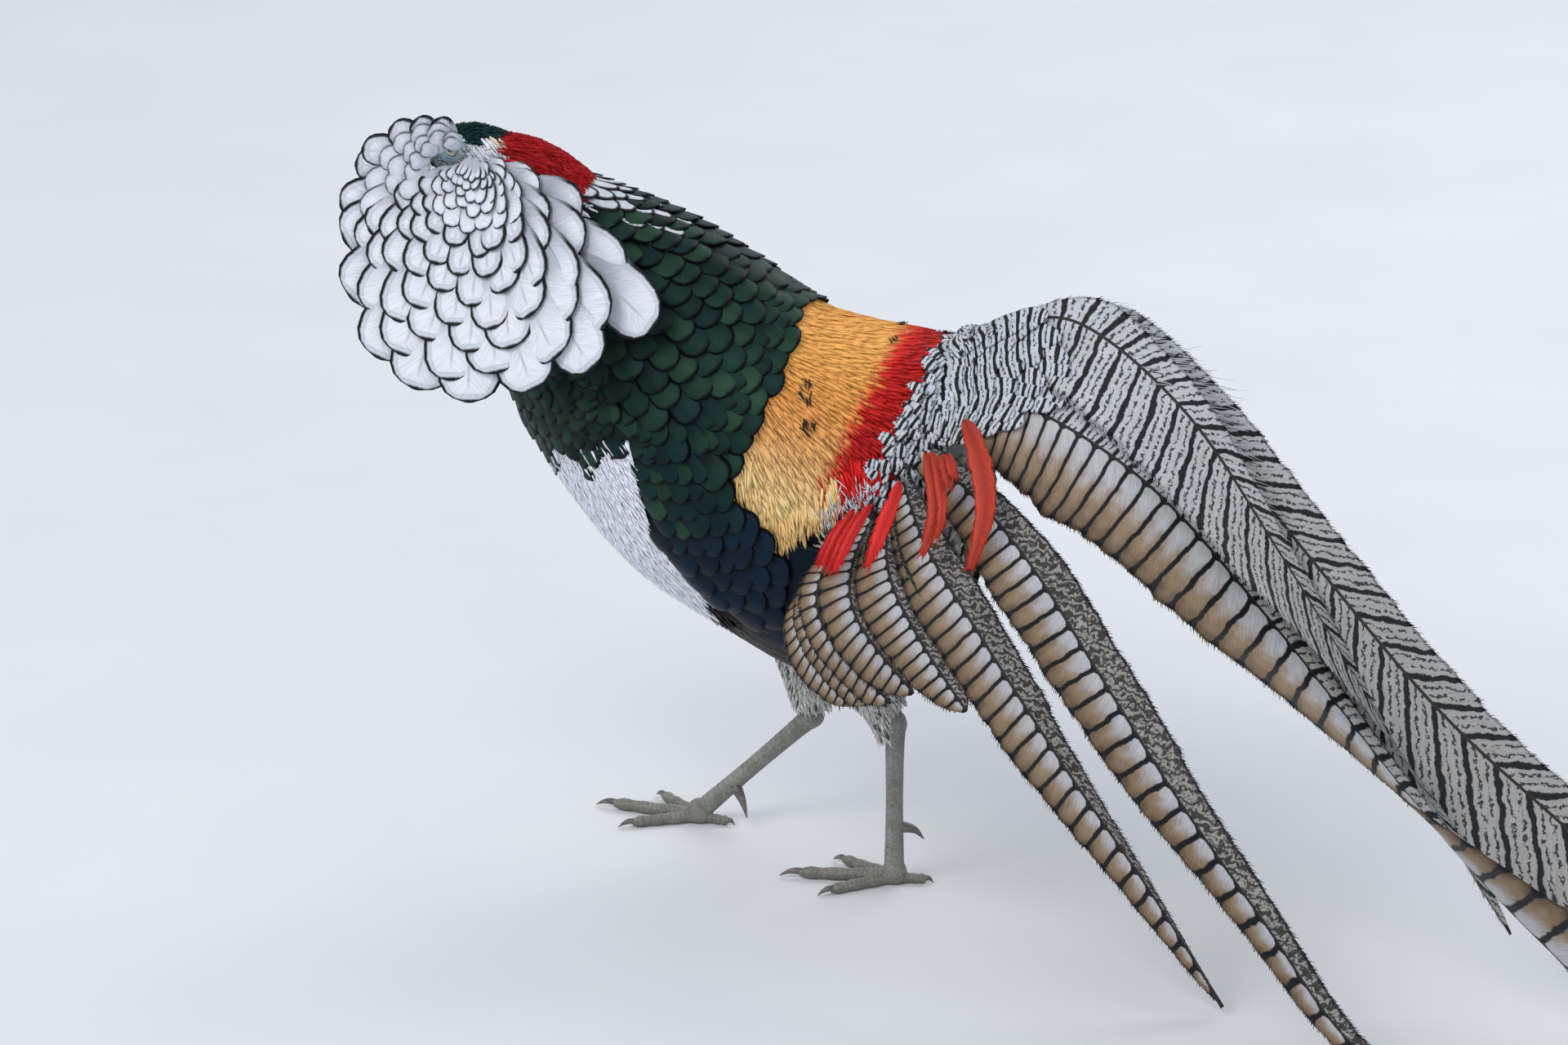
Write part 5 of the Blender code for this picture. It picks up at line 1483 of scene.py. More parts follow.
def rectrix(shaft, inner, outer, webs, spacing, slant, rng, share=0.5, fold=WEB_FOLD, bare=0.0, material=0,
            patch=None, step=2.6, blunt=False, before=None, wisps=None, full=False):
    """A tail feather over the same shaft as the solid one, within the room between its neighbours, with its
    edges frayed and loose barbs along them."""
    count = max(40, int(resample(shaft, 10)[1][-1] / step))
    path, places = resample(shaft, count)
    along = unit(np.gradient(path, axis=0))
    chord = path - at_run(outer, places) if inner is None else at_run(inner, places) - path
    chord -= along * np.einsum("ij,ij->i", chord, along)[:, None]
    gap = np.linalg.norm(chord, axis=1)
    inner_room = np.maximum(gap * 0.45, gap - before * 0.8) if before else gap * share
    outer_room = 1000.0
    if outer is not None:
        outer_room = np.linalg.norm(at_run(outer, places) - path, axis=1) * (1 - share)
    across = unit(chord)
    for _ in range(6):
        across[1:-1] = unit(across[:-2] + across[1:-1] * 2 + across[2:])
    spread = places / places[-1]
    width = np.interp(spread, *(BLUNT_WEB if blunt else FULL_WEB if full else LONG_WEB))
    grown = smooth((places - bare) / 70.0) if bare else 1.0
    fray = np.convolve(rng.normal(0, 1, len(places)), (0.25, 0.5, 0.25), "same")
    inner_web = np.minimum(webs[1] * width * grown + 1.5 * (spread < 0.5), inner_room - 0.4)
    outer_web = np.minimum(webs[0] * width, outer_room - 0.4)
    inner_web = np.maximum(inner_web * (1 + 0.03 * fray), 0.4)
    outer_web = np.maximum(outer_web * (1 - 0.025 * fray), 0.4)
    s = np.array(COLUMNS["plume"])
    web = np.where(s < 0, outer_web[:, None], inner_web[:, None])
    phase = bar_phase(places[:, None], np.abs(s) * web, spacing, slant)
    normal_in = unit(np.cross(across, along))
    main = patch * np.array([1, 1, 0.84, 1]) + np.array([patch[0, 2] * 0.08, 0, 0, 0])
    part = vanes(path[None], normal_in[None], outer_web[None], "plume", inner_web[None], 0.42, 0.0,
                 phase=phase[None], seed=rng.uniform(0, 100, 1), patch=main, material=material, ridge=0.5)
    # The outer web is turned down about the shaft, so the vane is bent there
    turn = np.radians(fold) * smooth(places / 150.0)[:, None]
    outward = -across * np.cos(turn) - normal_in * np.sin(turn)
    normal_out = unit(np.cross(along, outward))
    row = np.concatenate([np.repeat(np.arange(count + 1), many) for many in (len(s), len(s) - 2)])
    offset = part["vane"][:, 0]
    reach = np.abs(offset)[:, None]
    arch = 0.10 * offset ** 2 / np.maximum(np.maximum(outer_web, inner_web)[row], 1.0)
    if before:
        arch = arch + (offset > 0) * 2.2 * (offset / inner_web[row]) ** 2
    lifted = (np.einsum("ij,ij->i", part["points"] - path[row], normal_in[row]) - arch)[:, None]
    inside = path[row] + across[row] * reach + normal_in[row] * lifted
    outside = path[row] + outward[row] * reach + normal_out[row] * lifted
    points = np.where((offset < 0)[:, None], outside, inside)
    points[:, 2] = np.maximum(points[:, 2], 0.25)
    part["points"] = points
    parts = [part]
    for sign, out, normal, width_there, column in ((-1, outward, normal_out, outer_web, 0),
                                                   (1, across, normal_in, inner_web, len(s) - 1)):
        sunk = 0.10 * width_there ** 2 / np.maximum(np.maximum(outer_web, inner_web), 1.0)
        sunk = sunk + (2.2 if before and sign > 0 else 0.0)
        edge = path + out * width_there[:, None] - normal * sunk[:, None]
        one = np.ones(count + 1)
        fields = np.column_stack([sign * width_there, places, sign * one, phase[:, column]])
        reaches = wisps if wisps and sign > 0 else ((0, 0.1, 0.9, 1.0), (0.9, 1.7, 1.7, 1.4))
        strip = (patch[0, 0] + patch[0, 2] * (0.01 if sign < 0 else 0.95), patch[0, 1], patch[0, 2] * 0.05,
                 patch[0, 3] * 0.99)
        parts.append(fringe(edge, out, along, normal, fields, rng, 1.3, reaches, 38.0, strip, material))
    return parts


def tail(rng):
    """The eighteen tail feathers as the solids have them: central, shown and hidden ones."""
    shown, far_side = LEFT_SHAFTS, right_shafts()
    above = [tuple(np.array(p) + (0, 14, 30)) for p in RIGHT_FIRST_SHAFT]
    loose = ((0, 0.22, 0.30, 0.36, 0.44, 0.54, 1.0), (1.5, 2, 11, 16, 10, 3, 1.5))
    first = rectrix(shown[0], None, shown[1], (40, LEFT_WEBS[0][1]), BAR_SPACING[0], central_slant, rng, 0.36,
                    0, 50, patch=strips(1, 0, 3), wisps=loose)
    second = rectrix(shown[1], shown[0], shown[2], (46, 34), BAR_SPACING[1], side_slant, rng, 0.36,
                     material=1, patch=strips(1, 1, 3), full=True)
    far = rectrix(RIGHT_FIRST_SHAFT, above, None, (44, RIGHT_FIRST_WEBS[1]), BAR_SPACING[0], central_slant,
                  rng, 1.0, 0, 50, patch=strips(1, 2, 3), full=True)
    central = first + second + far
    left, right = [], []
    for k in range(2, len(shown)):
        after = shown[k + 1] if k + 1 < len(shown) else None
        left += rectrix(shown[k], shown[k - 1], after, LEFT_WEBS[k], BAR_SPACING[k], side_slant, rng, 0.14,
                        patch=strips(1, k - 2, 7), step=2.0, blunt=k > 3, before=LEFT_WEBS[k - 1][0])
    for k in range(1, len(far_side)):
        after = far_side[k + 1] if k + 1 < len(far_side) else None
        right += rectrix(far_side[k], far_side[k - 1], after, LEFT_WEBS[min(k + 1, 8)],
                         BAR_SPACING[min(k + 1, 8)], side_slant, rng, 0.3, fold=0, patch=strips(1, k - 1, 8),
                         step=4.0, blunt=k > 3)
    return central, left, right


def coverts(surface, rng):
    """Barred feathers in rows over the tail's root, their bars in line as on one sheet."""
    parts = []
    s = np.array(COLUMNS["plume"])
    shares = np.array([s for s, _ in ROUND])
    rows = ((1.0, 3.0), (0.80, 3.8), (0.60, 4.5), (0.42, 5.1), (0.24, 5.6), (0.08, 6.0))
    for row, (share, lift) in enumerate(rows):
        count = 16 + row % 2
        v = -0.30 + 2.85 * (np.arange(count) + 0.5) / count + rng.normal(0, 0.03, count)
        tip = 17 + share * np.interp(v, (0, 1, 1.5, 2, 2.5), (38, 58, 74, 64, 22)) + rng.normal(0, 1.2, count)
        start = np.full(count, 3.0 + 2.5 * row)
        uu = start[:, None] + (tip - start)[:, None] * shares
        vv = v[:, None] + 0 * uu
        height = lift * smooth((uu - 4.0) / 15.0) - 1.2 * (1 - shares) + 0.5 * smooth((shares - 0.6) / 0.4)
        height = height + 5.0 * smooth((uu - 6) / 16) * smooth((54 - uu) / 26) * smooth((1.6 - vv) / 1.4)
        path = surface(uu, vv, height)
        up = unit(surface(uu, vv, height + 1.0) - path)
        half = np.interp(share, (0, 1), (6.2, 8.4)) * profile(ROUND, shares)[None] * np.ones((count, 1))
        across = s[None, None] * half[..., None]
        scale = np.linalg.norm(surface(uu, vv + 0.1) - surface(uu, vv - 0.1), axis=-1)[..., None] / 0.2
        sheet = vv[..., None] + across / np.maximum(scale, 4.0)
        far = uu[..., None]
        phase = far / 6.6 + 0.30 * np.sin(2.1 * sheet) + 0.16 * np.sin(7.0 * sheet + far * 0.08)
        phase = phase + rng.normal(0, 0.06, count)[:, None, None]
        parts.append(vanes(path, up, half, "plume", None, 0.35, 0.10, phase=phase,
                           seed=rng.uniform(0, 100, count)))
    return respread(parts, "plume", len(ROUND))


def orange_coverts(rng):
    """The long orange-red feathers that hang from among the coverts."""
    parts = []
    facing = np.array([0.25, -0.92, 0.31])
    pieces = (  # which path, from where to where on it, how wide, moved by
        (0, 0.12, 1.0, 0.98, (0, 0, 0)),
        (1, 0.22, 0.98, 0.66, (0, 0, 0)), (1, 0.20, 0.84, 0.44, (4, -2, 0)),
        (1, 0.22, 0.48, 0.50, (9, -4, 1)), (1, 0.20, 0.40, 0.45, (13, -6, 1)),
        (2, 0.32, 0.96, 0.66, (7, -2, 1)),
        (3, 0.40, 1.0, 0.42, (6, 0, 0)), (3, 0.44, 0.96, 0.36, (2, 1, -2)),
        (3, 0.40, 0.90, 0.40, (-3, 2, -4)), (3, 0.46, 0.84, 0.34, (-7, 3, -7)),
    )
    for number, (k, start, end, wide, shift) in enumerate(pieces):
        path, _ = resample(np.array(ORANGE_COVERTS[k], float) + shift, 26)
        path = through(path, np.linspace(26 * start, 26 * end, 27))
        up = np.broadcast_to(facing, path.shape)
        along = unit(np.gradient(path, axis=0))
        spread = np.linspace(0, 1, 27)
        half = np.interp(spread, (0, 0.1, 0.4, 0.7, 0.88, 1.0), (0.3, 0.75, 1.0, 0.8, 0.42, 0.06))
        half = ORANGE_WIDTH * wide * half * (1 + 0.07 * rng.normal(0, 1, 27))
        tint = np.array(ORANGE_RED if k < 2 else RED) * rng.uniform(0.72, 0.92)
        s = np.abs(np.array(COLUMNS["plume"]))[None, :, None]
        fade = np.interp(spread, (0, 0.3, 0.7, 1.0), (0.75, 1.0, 1.05, 0.75))[:, None, None]
        colour = tint * fade * (0.78 + 0.42 * s) + np.array((0.04, 0.03, 0.02)) * s ** 3
        patch = strips(1, number, len(pieces))
        parts.append(vanes(path[None], up[None], half[None], "plume", None, 0.4, 0.16, colour[None],
                           seed=rng.uniform(0, 100, 1), patch=patch * np.array([1, 1, 0.84, 1]), ridge=0.1))
        side = unit(np.cross(along, up))
        for sign in (-1, 1):
            fields = np.column_stack([sign * half, runs(path), np.full(27, float(sign)), np.zeros(27)])
            edge = path + side * (sign * half * 0.92)[:, None] - up * (0.16 * half)[:, None]
            strip = (patch[0, 0] + patch[0, 2] * 0.9, patch[0, 1], patch[0, 2] * 0.05, patch[0, 3])
            loose = fringe(edge, side * sign, along, up, fields, rng, 0.6, ((0, 0.5, 1.0), (1.4, 2.2, 4.5)),
                           14.0, strip, 0, 0.34)
            loose["base"] = np.tile((*tint * 1.12, 1.0), (len(loose["points"]), 1))
            parts.append(loose)
    return parts


def speckled(rng):
    """Small black and white feathers between the red band and the long coverts."""
    def keep(t, a):
        m = np.abs(a)
        return (t > red_end(m) + 0.02) & (m < 84) & (t < 9.6)

    u, v = scatter(body_point, (6.6, 9.8), (-86.0, 86.0), (4.2, 6.0), rng, keep, 0.2)
    part = feathered(body_point, u, v, np.sign(v) * 30.0, 15.0, 3.8, rng, outline=ROUND, shape="scale",
                     lifts=(-1.4, 3.2), thick=0.3, own_cells=True, sway=9.0)
    part["spot"][:, 2] = part["vane"][:, 1] / 5.4 + part["vane"][:, 2] * 0.37
    return part


def undertail(rng):
    """Dark barred feathers under the tail's root."""
    u, v = scatter(body_point, (7.6, 9.7), (138.0, 222.0), (9.0, 9.0), rng, None, 0.2)
    return feathered(body_point, u, v, 0.0, 26.0, 5.2, rng, outline=SLENDER, shape="scale", lifts=(-1.0, 4.0),
                     base=np.array((0.10, 0.10, 0.10)), thick=0.4, own_cells=True)


def eye(side):
    """An eyeball with a bulging cornea, with iris and pupil in its own rings of points."""
    centre = np.array([EYE_AT[0], MID_Y + side * EYE_SIDE, EYE_AT[1]])
    out = unit((-0.10, side, 0.10))
    first = unit(np.cross(out, (0, 0, 1.0)))
    second = np.cross(out, first)
    rings, sides = 48, 48
    tilt = np.linspace(0.02, math.pi - 0.02, rings)
    turn = np.arange(sides) * 2 * math.pi / sides
    points, colour, vane = [], [], []
    for a in tilt:
        off = EYE_RADIUS * math.sin(a)
        bulge = 0.55 * float(smooth((2.9 - off) / 2.0)) if a < 1.2 else 0.0
        for b in turn:
            way = out * math.cos(a) + (first * math.cos(b) + second * math.sin(b)) * math.sin(a)
            points.append(centre + way * EYE_RADIUS + out * bulge)
            vane.append((off, b, 0.0))
            if a > 1.1 or off > 3.6:
                colour.append((0.05, 0.05, 0.055))
            elif off < 1.45:
                colour.append((0.003, 0.003, 0.004))
            else:
                colour.append(tuple(np.array((0.62, 0.60, 0.44)) * (1.0 if off < 3.1 else 0.45)))
    points, colour = np.array(points), np.array(colour)
    faces, k, _ = ring_faces(rings, sides)
    for ring, turned in ((k[0], 1), (k[-1], -1)):
        faces.append(np.array([(ring[0], *(ring[j], ring[j + 1])[::turned]) for j in range(1, sides - 1)]))
    faces = facing_out(points, np.vstack(faces))
    return {"points": points, "faces": faces, "base": np.column_stack([colour, np.ones(len(colour))]),
            "vane": np.array(vane), "spot": np.array(vane)}


def eye_skin(side, rng):
    """Lids and the wrinkled bare skin round the eye, as a closed shell of rings about the eye's axis."""
    centre = np.array([EYE_AT[0], MID_Y + side * EYE_SIDE, EYE_AT[1]])
    rings, sides = 26, 72
    turn = np.arange(sides) * 2 * math.pi / sides
    waves = rng.uniform(0, 2 * math.pi, 6)
    top = np.empty((rings, sides, 3))
    for i, share in enumerate(np.linspace(0, 1, rings)):
        for j, b in enumerate(turn):
            narrow = 0.74 if math.sin(b) > 0 else 0.82
            inner_x, inner_z = 3.9, 3.9 * narrow
            outer_x, outer_z = 10.4 + 1.2 * math.cos(b + 2.6), 8.4 + 0.8 * math.cos(2 * b)
            x = math.cos(b) * (inner_x + (outer_x - inner_x) * share)
            z = math.sin(b) * (inner_z + (outer_z - inner_z) * share)
            off = math.hypot(x, z)
            ball = EYE_SIDE + math.sqrt(EYE_RADIUS ** 2 - off ** 2) if off < EYE_RADIUS else 0.0
            head = head_y(centre[0] + x, centre[2] + z)
            lid = 0.75 * math.exp(-((share - 0.12) / 0.10) ** 2)
            fold = 0.28 * math.exp(-((share - 0.34) / 0.06) ** 2)
            fold += 0.2 * math.exp(-((share - 0.55) / 0.06) ** 2)
            grain = 0.13 * math.sin(9 * share * 6 + waves[0] + 2 * math.sin(3 * b + waves[1])) * (share > 0.2)
            y = max(ball + 0.25, head - 0.2) + lid + fold + grain
            y -= 1.4 * smooth((share - 0.86) / 0.14)
            top[i, j] = (centre[0] + x, MID_Y + side * y, centre[2] + z)
    low = top.copy()
    low[..., 1] -= side * 1.5
    points = np.vstack([top.reshape(-1, 3), low.reshape(-1, 3)])
    above, k, right = ring_faces(rings, sides)
    back = rings * sides
    faces = above + [part[:, ::-1] + back for part in above]
    for ring, turn_by in ((0, 1), (rings - 1, -1)):
        a, b = k[ring], right[ring]
        quad = ((a, a + back, b + back), (a, b + back, b))
        faces += [np.stack(x, 1)[:, ::turn_by] for x in quad]
    faces = np.vstack(faces)
    if side > 0:
        faces = faces[:, ::-1]
    return {"points": points, "faces": faces}


def head_y(x, z):
    """How far the head's surface is from the middle plane at a place seen from its side."""
    t = np.linspace(0, 5, 120)
    row = through(HEAD_STATIONS, t)
    i = int(np.abs(row[:, 0] - x).argmin())
    off = (z - row[i, 1]) / row[i, 2]
    return row[i, 3] * math.sqrt(max(0.0, 1 - off * off))


def bill():
    """Upper and lower half as smooth lofts, with an arched ridge, a hooked tip and hollow nostrils."""
    along = np.array([-0.96, 0.0, -0.28])
    up = np.array([-0.28, 0.0, 0.96])
    side = np.array([0.0, -1.0, 0.0])
    root = np.array([BILL_ROOT[0], MID_Y, BILL_ROOT[1]])
    knots = (-0.12, 0.15, 0.4, 0.65, 0.86, 1.0)
    ridge, mouth = (5.4, 5.0, 4.2, 2.9, 1.1, -1.2), (-0.4, -0.4, -0.5, -0.9, -1.6, -2.2)
    wide = (4.9, 4.3, 3.5, 2.6, 1.6, 0.4)
    table = np.column_stack([knots, ridge, mouth, wide])
    rows, arch = through(table, np.linspace(0, 5, 60)), np.linspace(0, math.pi, 25)
    halves = []
    for lower in (False, True):
        rings = []
        for share, top, cut, half in rows:
            if lower and share > 0.9:
                continue
            centre = root + along * BILL_LENGTH * share
            ring = []
            for a in arch:
                if lower:
                    depth = 3.6 * (1 - share) ** 0.6 + 0.7
                    height, reach = cut - 0.35 - depth * math.sin(a), half * 0.86 * math.cos(a)
                else:
                    height, reach = cut + (top - cut) * math.sin(a) ** 0.85, half * math.cos(a)
                    near = ((share - 0.17) / 0.085) ** 2 + ((math.sin(a) - 0.62) / 0.14) ** 2
                    reach *= 1 - 0.34 * math.exp(-near)
                    near = ((share - 0.17) / 0.12) ** 2 + ((math.sin(a) - 0.86) / 0.12) ** 2
                    reach *= 1 + 0.10 * math.exp(-near)
                ring.append(centre + up * height + side * reach)
            sunk = up * (0.25 if lower else 0.0)
            rings.append(ring + [ring[-1] + (ring[0] - ring[-1]) * f + sunk for f in (0.25, 0.5, 0.75)])
        halves.append(closed_tube(np.array(rings)))
    return halves


def shank(places, inward):
    """A bare shank: broad scutes down its front, small round scales on sides and back."""
    hip, ankle, sole = (np.array(places[k], float) for k in ("hip", "ankle", "ball"))
    knee = hip + (ankle - hip) * KNEE_SHARE
    down_it = sole - ankle
    path = [ankle + (knee - ankle) * 0.12, ankle, ankle + down_it * 0.12, ankle + down_it * 0.55, sole]
    surface = limb_surface(path, (4.6, 6.0, 4.8, SHANK_RADIUS, 5.0), 0.82)
    run = runs(surface(np.linspace(0, 4, 200), np.zeros(200)))

    def scales(u, a):
        at = np.interp(u, np.linspace(0, 4, 200), run)
        front = surface(u, a) - surface(u, a + 180)
        facing = unit(front)[..., 0] * -1
        plate = at / 3.6 + 0.25 * np.sign(np.sin(np.radians(a)))
        step = plate - np.floor(plate)
        scute = 0.42 * np.minimum(1.0, (1 - step) * 5) * np.minimum(1.0, step * 1.6 + 0.35)
        cells_u, cells_a = at / 1.7, a / 30.0 + 0.5 * (np.floor(at / 1.7) % 2)
        round_ones = 0.26 * (np.abs(np.sin(cells_u * math.pi)) * np.abs(np.sin(cells_a * math.pi))) ** 0.5
        return np.where(facing > 0.25, scute, round_ones)

    rows, sides = 260, 60
    u, a = np.meshgrid(np.linspace(0, 4, rows), np.arange(sides) * 360.0 / sides, indexing="ij")
    depth = scales(u, a)[..., None]
    tint = np.array((0.20, 0.205, 0.19)) + np.array((0.16, 0.165, 0.16)) * (depth / 0.42)
    part = limb_mesh(surface, (0, 4), rows, sides, scales, tint)
    down = unit(down_it)
    spur_root = ankle + down_it * 0.70
    back = unit(np.array([1.0, 0.35 * inward, 0.0]) - down * down[0])
    bends = ((0, 0), (6, 0), (11, 2.0), (15, 6.5))
    spur_path = [spur_root + back * out - (0, 0, drop) for out, drop in bends]
    spur = limb_mesh(limb_surface(spur_path, (3.4, 2.8, 1.7, 0.3)), (0.3, 3.0), 30, 20)
    return part, spur


def foot(sole, inward):
    """Four toes with scutes above and pads below, and their claws."""
    toes, claws = [], []
    for heading, length, radius in TOES:
        a = math.radians(heading * inward)
        way = np.array([-math.cos(a), math.sin(a), 0.0])
        steps = (
            (0.0, 1.25, 0.94), (0.17, 1.02, 0.96), (0.34, 1.06, 0.94), (0.48, 0.88, 0.92),
            (0.62, 0.96, 0.9), (0.74, 0.80, 0.9), (0.86, 0.92, 0.9), (0.97, 0.55, 0.85),
        )
        path = [np.array([sole[0], sole[1], radius * high]) + way * length * s for s, _, high in steps]
        surface = limb_surface(path, [radius * r for _, r, _ in steps])
        run = runs(surface(np.linspace(0, 7, 200), np.zeros(200)))

        def scales(u, angle, surface=surface, run=run):
            at = np.interp(u, np.linspace(0, 7, 200), run)
            high = unit(surface(u, angle) - surface(u, angle + 180))[..., 2]
            step = at / 2.6 - np.floor(at / 2.6)
            scute = 0.32 * np.minimum(1.0, (1 - step) * 5) * np.minimum(1.0, step * 1.5 + 0.3)
            pads = 0.16 * np.abs(np.sin(at * 2.0) * np.sin(np.radians(angle) * 6))
            return np.where(high > 0.25, scute, pads)

        u, turn = np.meshgrid(np.linspace(0, 7, 110), np.arange(36) * 10.0, indexing="ij")
        depth = scales(u, turn)[..., None]
        tint = np.array((0.17, 0.165, 0.14)) + np.array((0.16, 0.15, 0.13)) * (depth / 0.32)
        toes.append(limb_mesh(surface, (0, 7), 110, 36, scales, tint, 0.0))
        root = np.array([sole[0], sole[1], radius * 0.95]) + way * length * 0.90
        claw_path = [root, root + way * length * 0.12 + (0, 0, 0.5), root + way * length * 0.21 - (0, 0, 0.5),
                     root + way * length * 0.285 - (0, 0, radius * 0.78)]
        claws.append(limb_mesh(limb_surface(claw_path, (radius * 0.56, radius * 0.50, radius * 0.30, 0.12)),
                               (0, 3.0), 26, 18, low=0.0))
    middle = [np.array(sole) + (0, 0, z) for z in (-5.2, -3.4, 0.5, 4.5, 6.5)]
    toes.append(limb_mesh(limb_surface(middle, (4.0, 6.0, 6.4, 5.2, 3.0)), (0, 4), 40, 40,
                          lambda u, a: 0.16 * np.abs(np.sin(u * 9) * np.sin(np.radians(a) * 7)),
                          np.array((0.26, 0.25, 0.22)), 0.0))
    return toes, claws


def build_head_parts():
    horn = horn_finish("bill_horn", (0.30, 0.32, 0.27), (0.52, 0.52, 0.42))
    upper, lower = bill()
    piece("bill_top", upper, horn, "horn", "bill_upper")
    piece("bill_under", lower, horn, "horn", "bill_lower")
    gloss, bare = eye_finish(), face_finish()
    for side, word in ((-1, "left"), (1, "right")):
        piece("eyeball_" + word, eye(side), gloss, "eye", "eye_" + word)
        piece("eyelids_" + word, eye_skin(side, np.random.default_rng(40 + side)), bare, "crown_green")


def build_legs():
    scaly = scaly_finish()
    claw_horn = horn_finish("claw_horn", (0.055, 0.050, 0.045), (0.16, 0.15, 0.13), 400.0)
    for word, places, inward in (("left", LEFT_LEG, 1), ("right", RIGHT_LEG, -1)):
        leg, spur = shank(places, inward)
        toes, claws = foot(places["ball"], inward)
        piece("scaly_shank_" + word, leg, scaly, "leg_grey", "shank_" + word)
        piece("toes_" + word, toes, scaly, "leg_grey", "foot_" + word)
        piece("spur_" + word, spur, claw_horn, "horn")
        piece("claws_" + word, claws, claw_horn, "horn")


def build_plumage():
    gloss = dict(Metallic=0.5, Specular_IOR_Level=0.15)
    # Painted highlight on some feathers, painted shade at the roots
    green = rimmed_feathers("mantle_scales", BLACK, 1.35, (0.40, 0.60), painted_highlight=HIGHLIGHT_GREEN, start=0.25,
                            shade=(0.004, 0.010, 0.010), soft=0.9, **gloss)
    # Painted shade at the roots and inside the black rims
    white = rimmed_feathers("cape_white", BLACK, 1.6, (0.55, 0.75), line=(0.30, 0.32, 0.36), start=0.30,
                            shade=(0.36, 0.38, 0.43), soft=0.5, painted_rim_shade=(4.2, (0.36, 0.39, 0.45)),
                            Specular_IOR_Level=0.25)
    soft = plain_feathers("soft_down", (0.65, 0.85), Specular_IOR_Level=0.2)
    silk = plain_feathers("silky", (0.45, 0.65), 0.92, 1.10, 0.15, Specular_IOR_Level=0.25)
    white_silk = plain_feathers("white_silk", (0.6, 0.8), 0.94, 1.06, 0.12, Specular_IOR_Level=0.2)
    crown = plain_feathers("crown_gloss", (0.35, 0.55), **gloss)
    # Painted shade at the roots
    blue = rimmed_feathers("wing_blue", BLACK, 0.9, (0.40, 0.60), start=0.25, shade=(0.003, 0.006, 0.010),
                           soft=0.9, **gloss)
    quill = rimmed_feathers("flight_brown", (0.26, 0.21, 0.16), 0.35, (0.45, 0.65), start=0.1,
                            Specular_IOR_Level=0.25)
    fiery = plain_feathers("orange_red", (0.42, 0.60), 0.78, 1.2, 0.3, Specular_IOR_Level=0.3)
    sheet = tail_vane("tail_maze", maze, maze)
    covert = tail_vane("covert_maze", covert_maze, covert_maze, 0.0)
    # Painted shade at the roots and inside the rims
    small = rimmed_feathers("cape_small", (0.02, 0.02, 0.024), 0.75, (0.55, 0.75), start=0.34,
                            shade=(0.42, 0.44, 0.48), soft=0.6, painted_rim_shade=(1.8, (0.42, 0.45, 0.50)),
                            Specular_IOR_Level=0.25)
    # Painted shade at the roots and inside the rims
    faint = rimmed_feathers("cape_faint", (0.10, 0.11, 0.13), 0.7, (0.55, 0.75), start=0.34,
                            shade=(0.40, 0.43, 0.48), soft=0.9, painted_rim_shade=(4.0, (0.42, 0.46, 0.52)),
                            Specular_IOR_Level=0.25)
    second = tail_vane("tail_second", lobes, maze)
    lateral = tail_vane("tail_lateral", lobes, crumpled)
    seeded = np.random.default_rng
    build_skin()
    piece("mantle_feathers", mantle(seeded(1)), green, "mantle_green")
    piece("mantle_fringe", respread_mixed(mantle_fringe(seeded(2))), green, "mantle_green")
    piece("belly_down", belly(seeded(3)), white_silk, "cape_white")
    piece("rump_silk", rump(seeded(4)), silk, "rump_gold")
    piece("rump_edge_silk", rump_edge(seeded(20)) + rump_marks(seeded(5)), silk, "rump_gold")
    piece("cheek_feathers", cheek_feathers(seeded(21)), soft, "cape_white")
    piece("speckled_feathers", speckled(seeded(22)), covert, "tail_barred")
    piece("flank_down", lower_body(seeded(6)), soft, "thigh_grey")
    piece("thigh_down", thighs(seeded(7)), soft, "thigh_grey")
    piece("head_feathers", head_feathers(seeded(8)), crown, "crown_green")
    piece("crest_strands", crest(seeded(9)), silk, "crest_crimson", "crest")
    piece("crest_bed", crest_bed(), skin_finish(), "crest_crimson")
    piece("neck_down", neck_feathers(seeded(10)), soft, "cape_white")
    shown = left_cape(cape_surface(), seeded(11))
    piece("cape_feathers_left", shown, [white, small, faint], "cape_white", "cape_left")
    piece("cape_feathers_right", right_cape(seeded(12)), white, "cape_white", "cape_right")
    for side, word in ((1, "left"), (-1, "right")):
        feathers = wing(side, seeded(13 + side))
        piece("wing_feathers_" + word, feathers, [blue, quill], "wing_blue", "wing_" + word)
    central, left, right = tail(seeded(16))
    piece("tail_feathers_central", central, [sheet, second], "tail_barred", "tail_central")
    piece("tail_feathers_left", left, lateral, "tail_brown", "tail_left")
    piece("tail_feathers_right", right, lateral, "tail_brown", "tail_right")
    tree = tree_of("tail_base", "torso_rear")
    surface = covert_surface(tree, (RIGHT_FIRST_SHAFT, *LEFT_SHAFTS[:3]))
    piece("tail_covert_feathers", coverts(surface, seeded(17)), covert, "tail_barred", "tail_coverts_upper")
    piece("orange_covert_feathers", orange_coverts(seeded(18)), fiery, "crest_crimson")
    piece("undertail_feathers", undertail(seeded(19)), blue, "thigh_grey", "undertail_coverts")


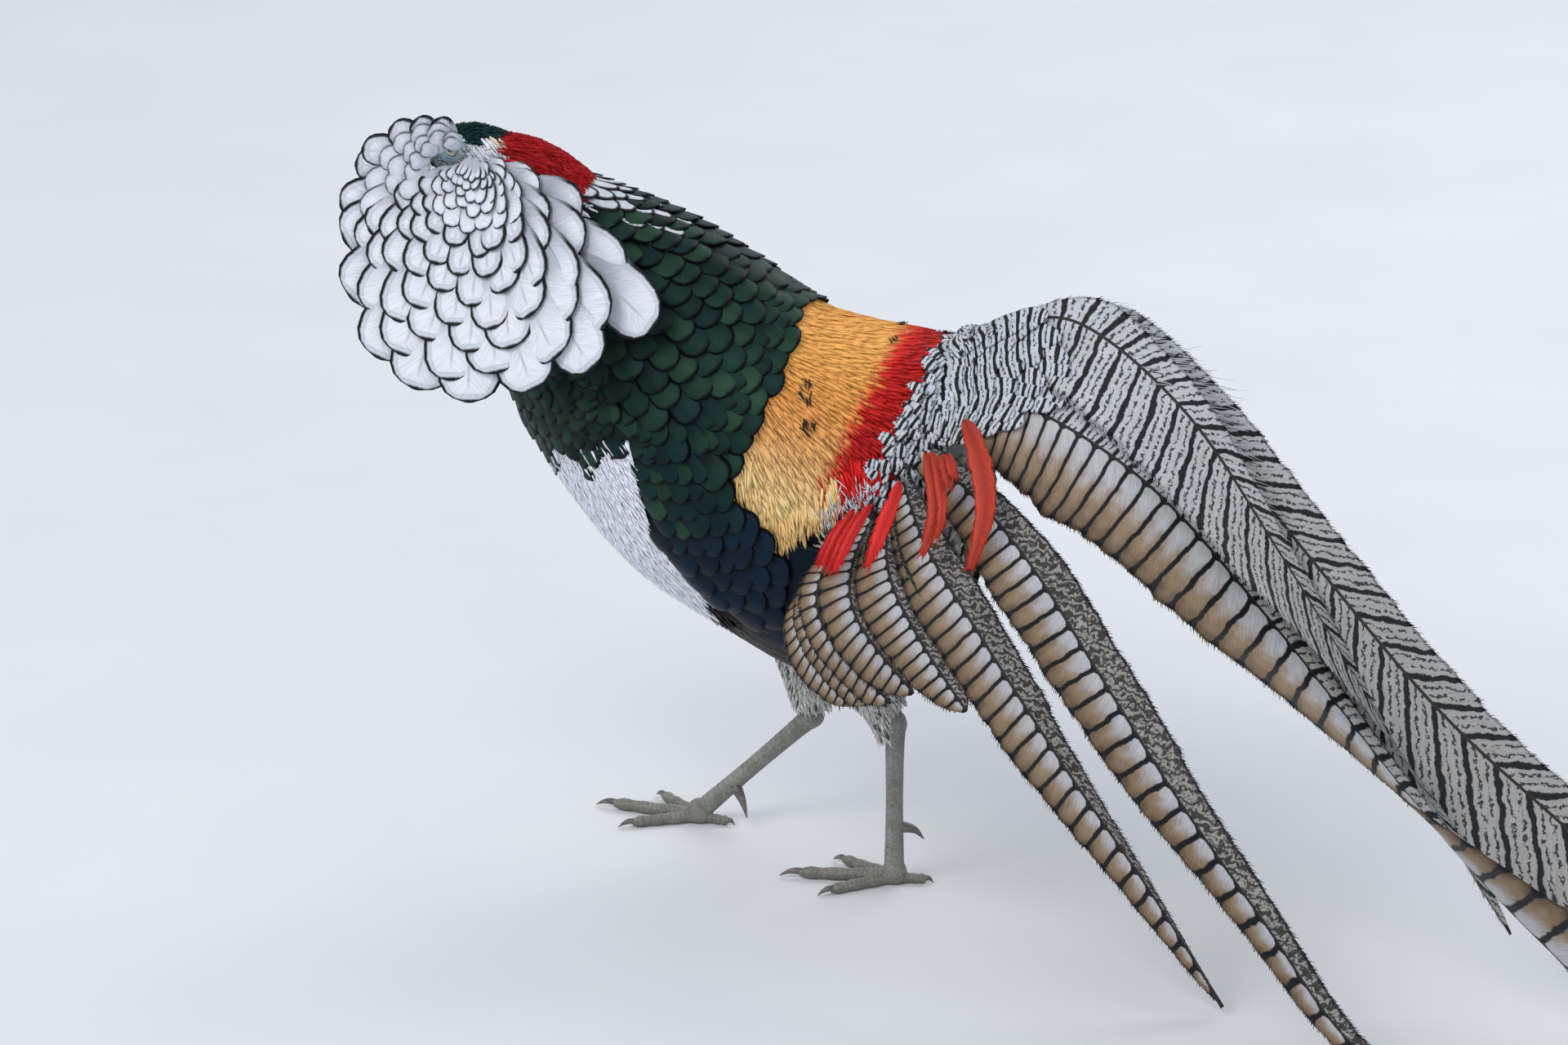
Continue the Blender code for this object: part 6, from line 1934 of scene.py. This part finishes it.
def build_stage():
    """Pale floor, soft lights and the photograph's camera."""
    bpy.ops.mesh.primitive_plane_add(size=12, location=(0, 0, -0.0002))
    floor = bpy.context.object
    floor.name = "floor"
    floor.data.materials.append(floor_finish())
    world = bpy.data.worlds.new("studio")
    bpy.context.scene.world = world
    world.use_nodes = True
    background = world.node_tree.nodes["Background"]
    background.inputs[0].default_value = (0.86, 0.91, 1.0, 1.0)
    background.inputs[1].default_value = 0.75
    for name, place, size, power, tint in (
        ("key", (-1.2, -2.2, 2.6), 1.8, 46, (1.0, 0.98, 0.95)),
        ("fill", (1.8, -2.4, 1.4), 2.2, 16, (0.93, 0.96, 1.0)),
        ("back", (0.8, 2.2, 2.2), 1.8, 26, (1.0, 1.0, 1.0)),
    ):
        lamp = bpy.data.lights.new(name, "AREA")
        lamp.size, lamp.energy, lamp.color = size, power, tint
        obj = bpy.data.objects.new(name, lamp)
        obj.location = place
        obj.rotation_euler = (Vector((0.05, 0.0, 0.2)) - Vector(place)).to_track_quat("-Z", "Y").to_euler()
        bpy.context.scene.collection.objects.link(obj)
    az, el = math.radians(AZIMUTH), math.radians(ELEVATION)
    right = Vector((math.cos(az), math.sin(az), 0))
    level = Vector((-math.sin(az), math.cos(az), 0))
    forward = level * math.cos(el) - Vector((0, 0, math.sin(el)))
    above = right.cross(forward)
    off_right, off_up = FOOT_PIXEL[0] - FRAME_WIDTH / 2, FRAME_HEIGHT / 2 - FOOT_PIXEL[1]
    aim = -(right * off_right + above * off_up) / PIXELS_PER_MM
    lens = bpy.data.cameras.new("camera")
    lens.sensor_width = SENSOR
    lens.sensor_fit = "HORIZONTAL"
    lens.lens = PIXELS_PER_MM * DISTANCE * SENSOR / FRAME_WIDTH
    lens.clip_end = 50
    camera = bpy.data.objects.new("camera", lens)
    turn = Matrix((right, above, -forward)).transposed().to_4x4()
    camera.matrix_world = Matrix.Translation((aim - forward * DISTANCE) * MM) @ turn
    bpy.context.scene.collection.objects.link(camera)
    bpy.context.scene.camera = camera
    bpy.context.scene.view_settings.view_transform = "Standard"


build_stage()
build_head_parts()
build_legs()
build_plumage()
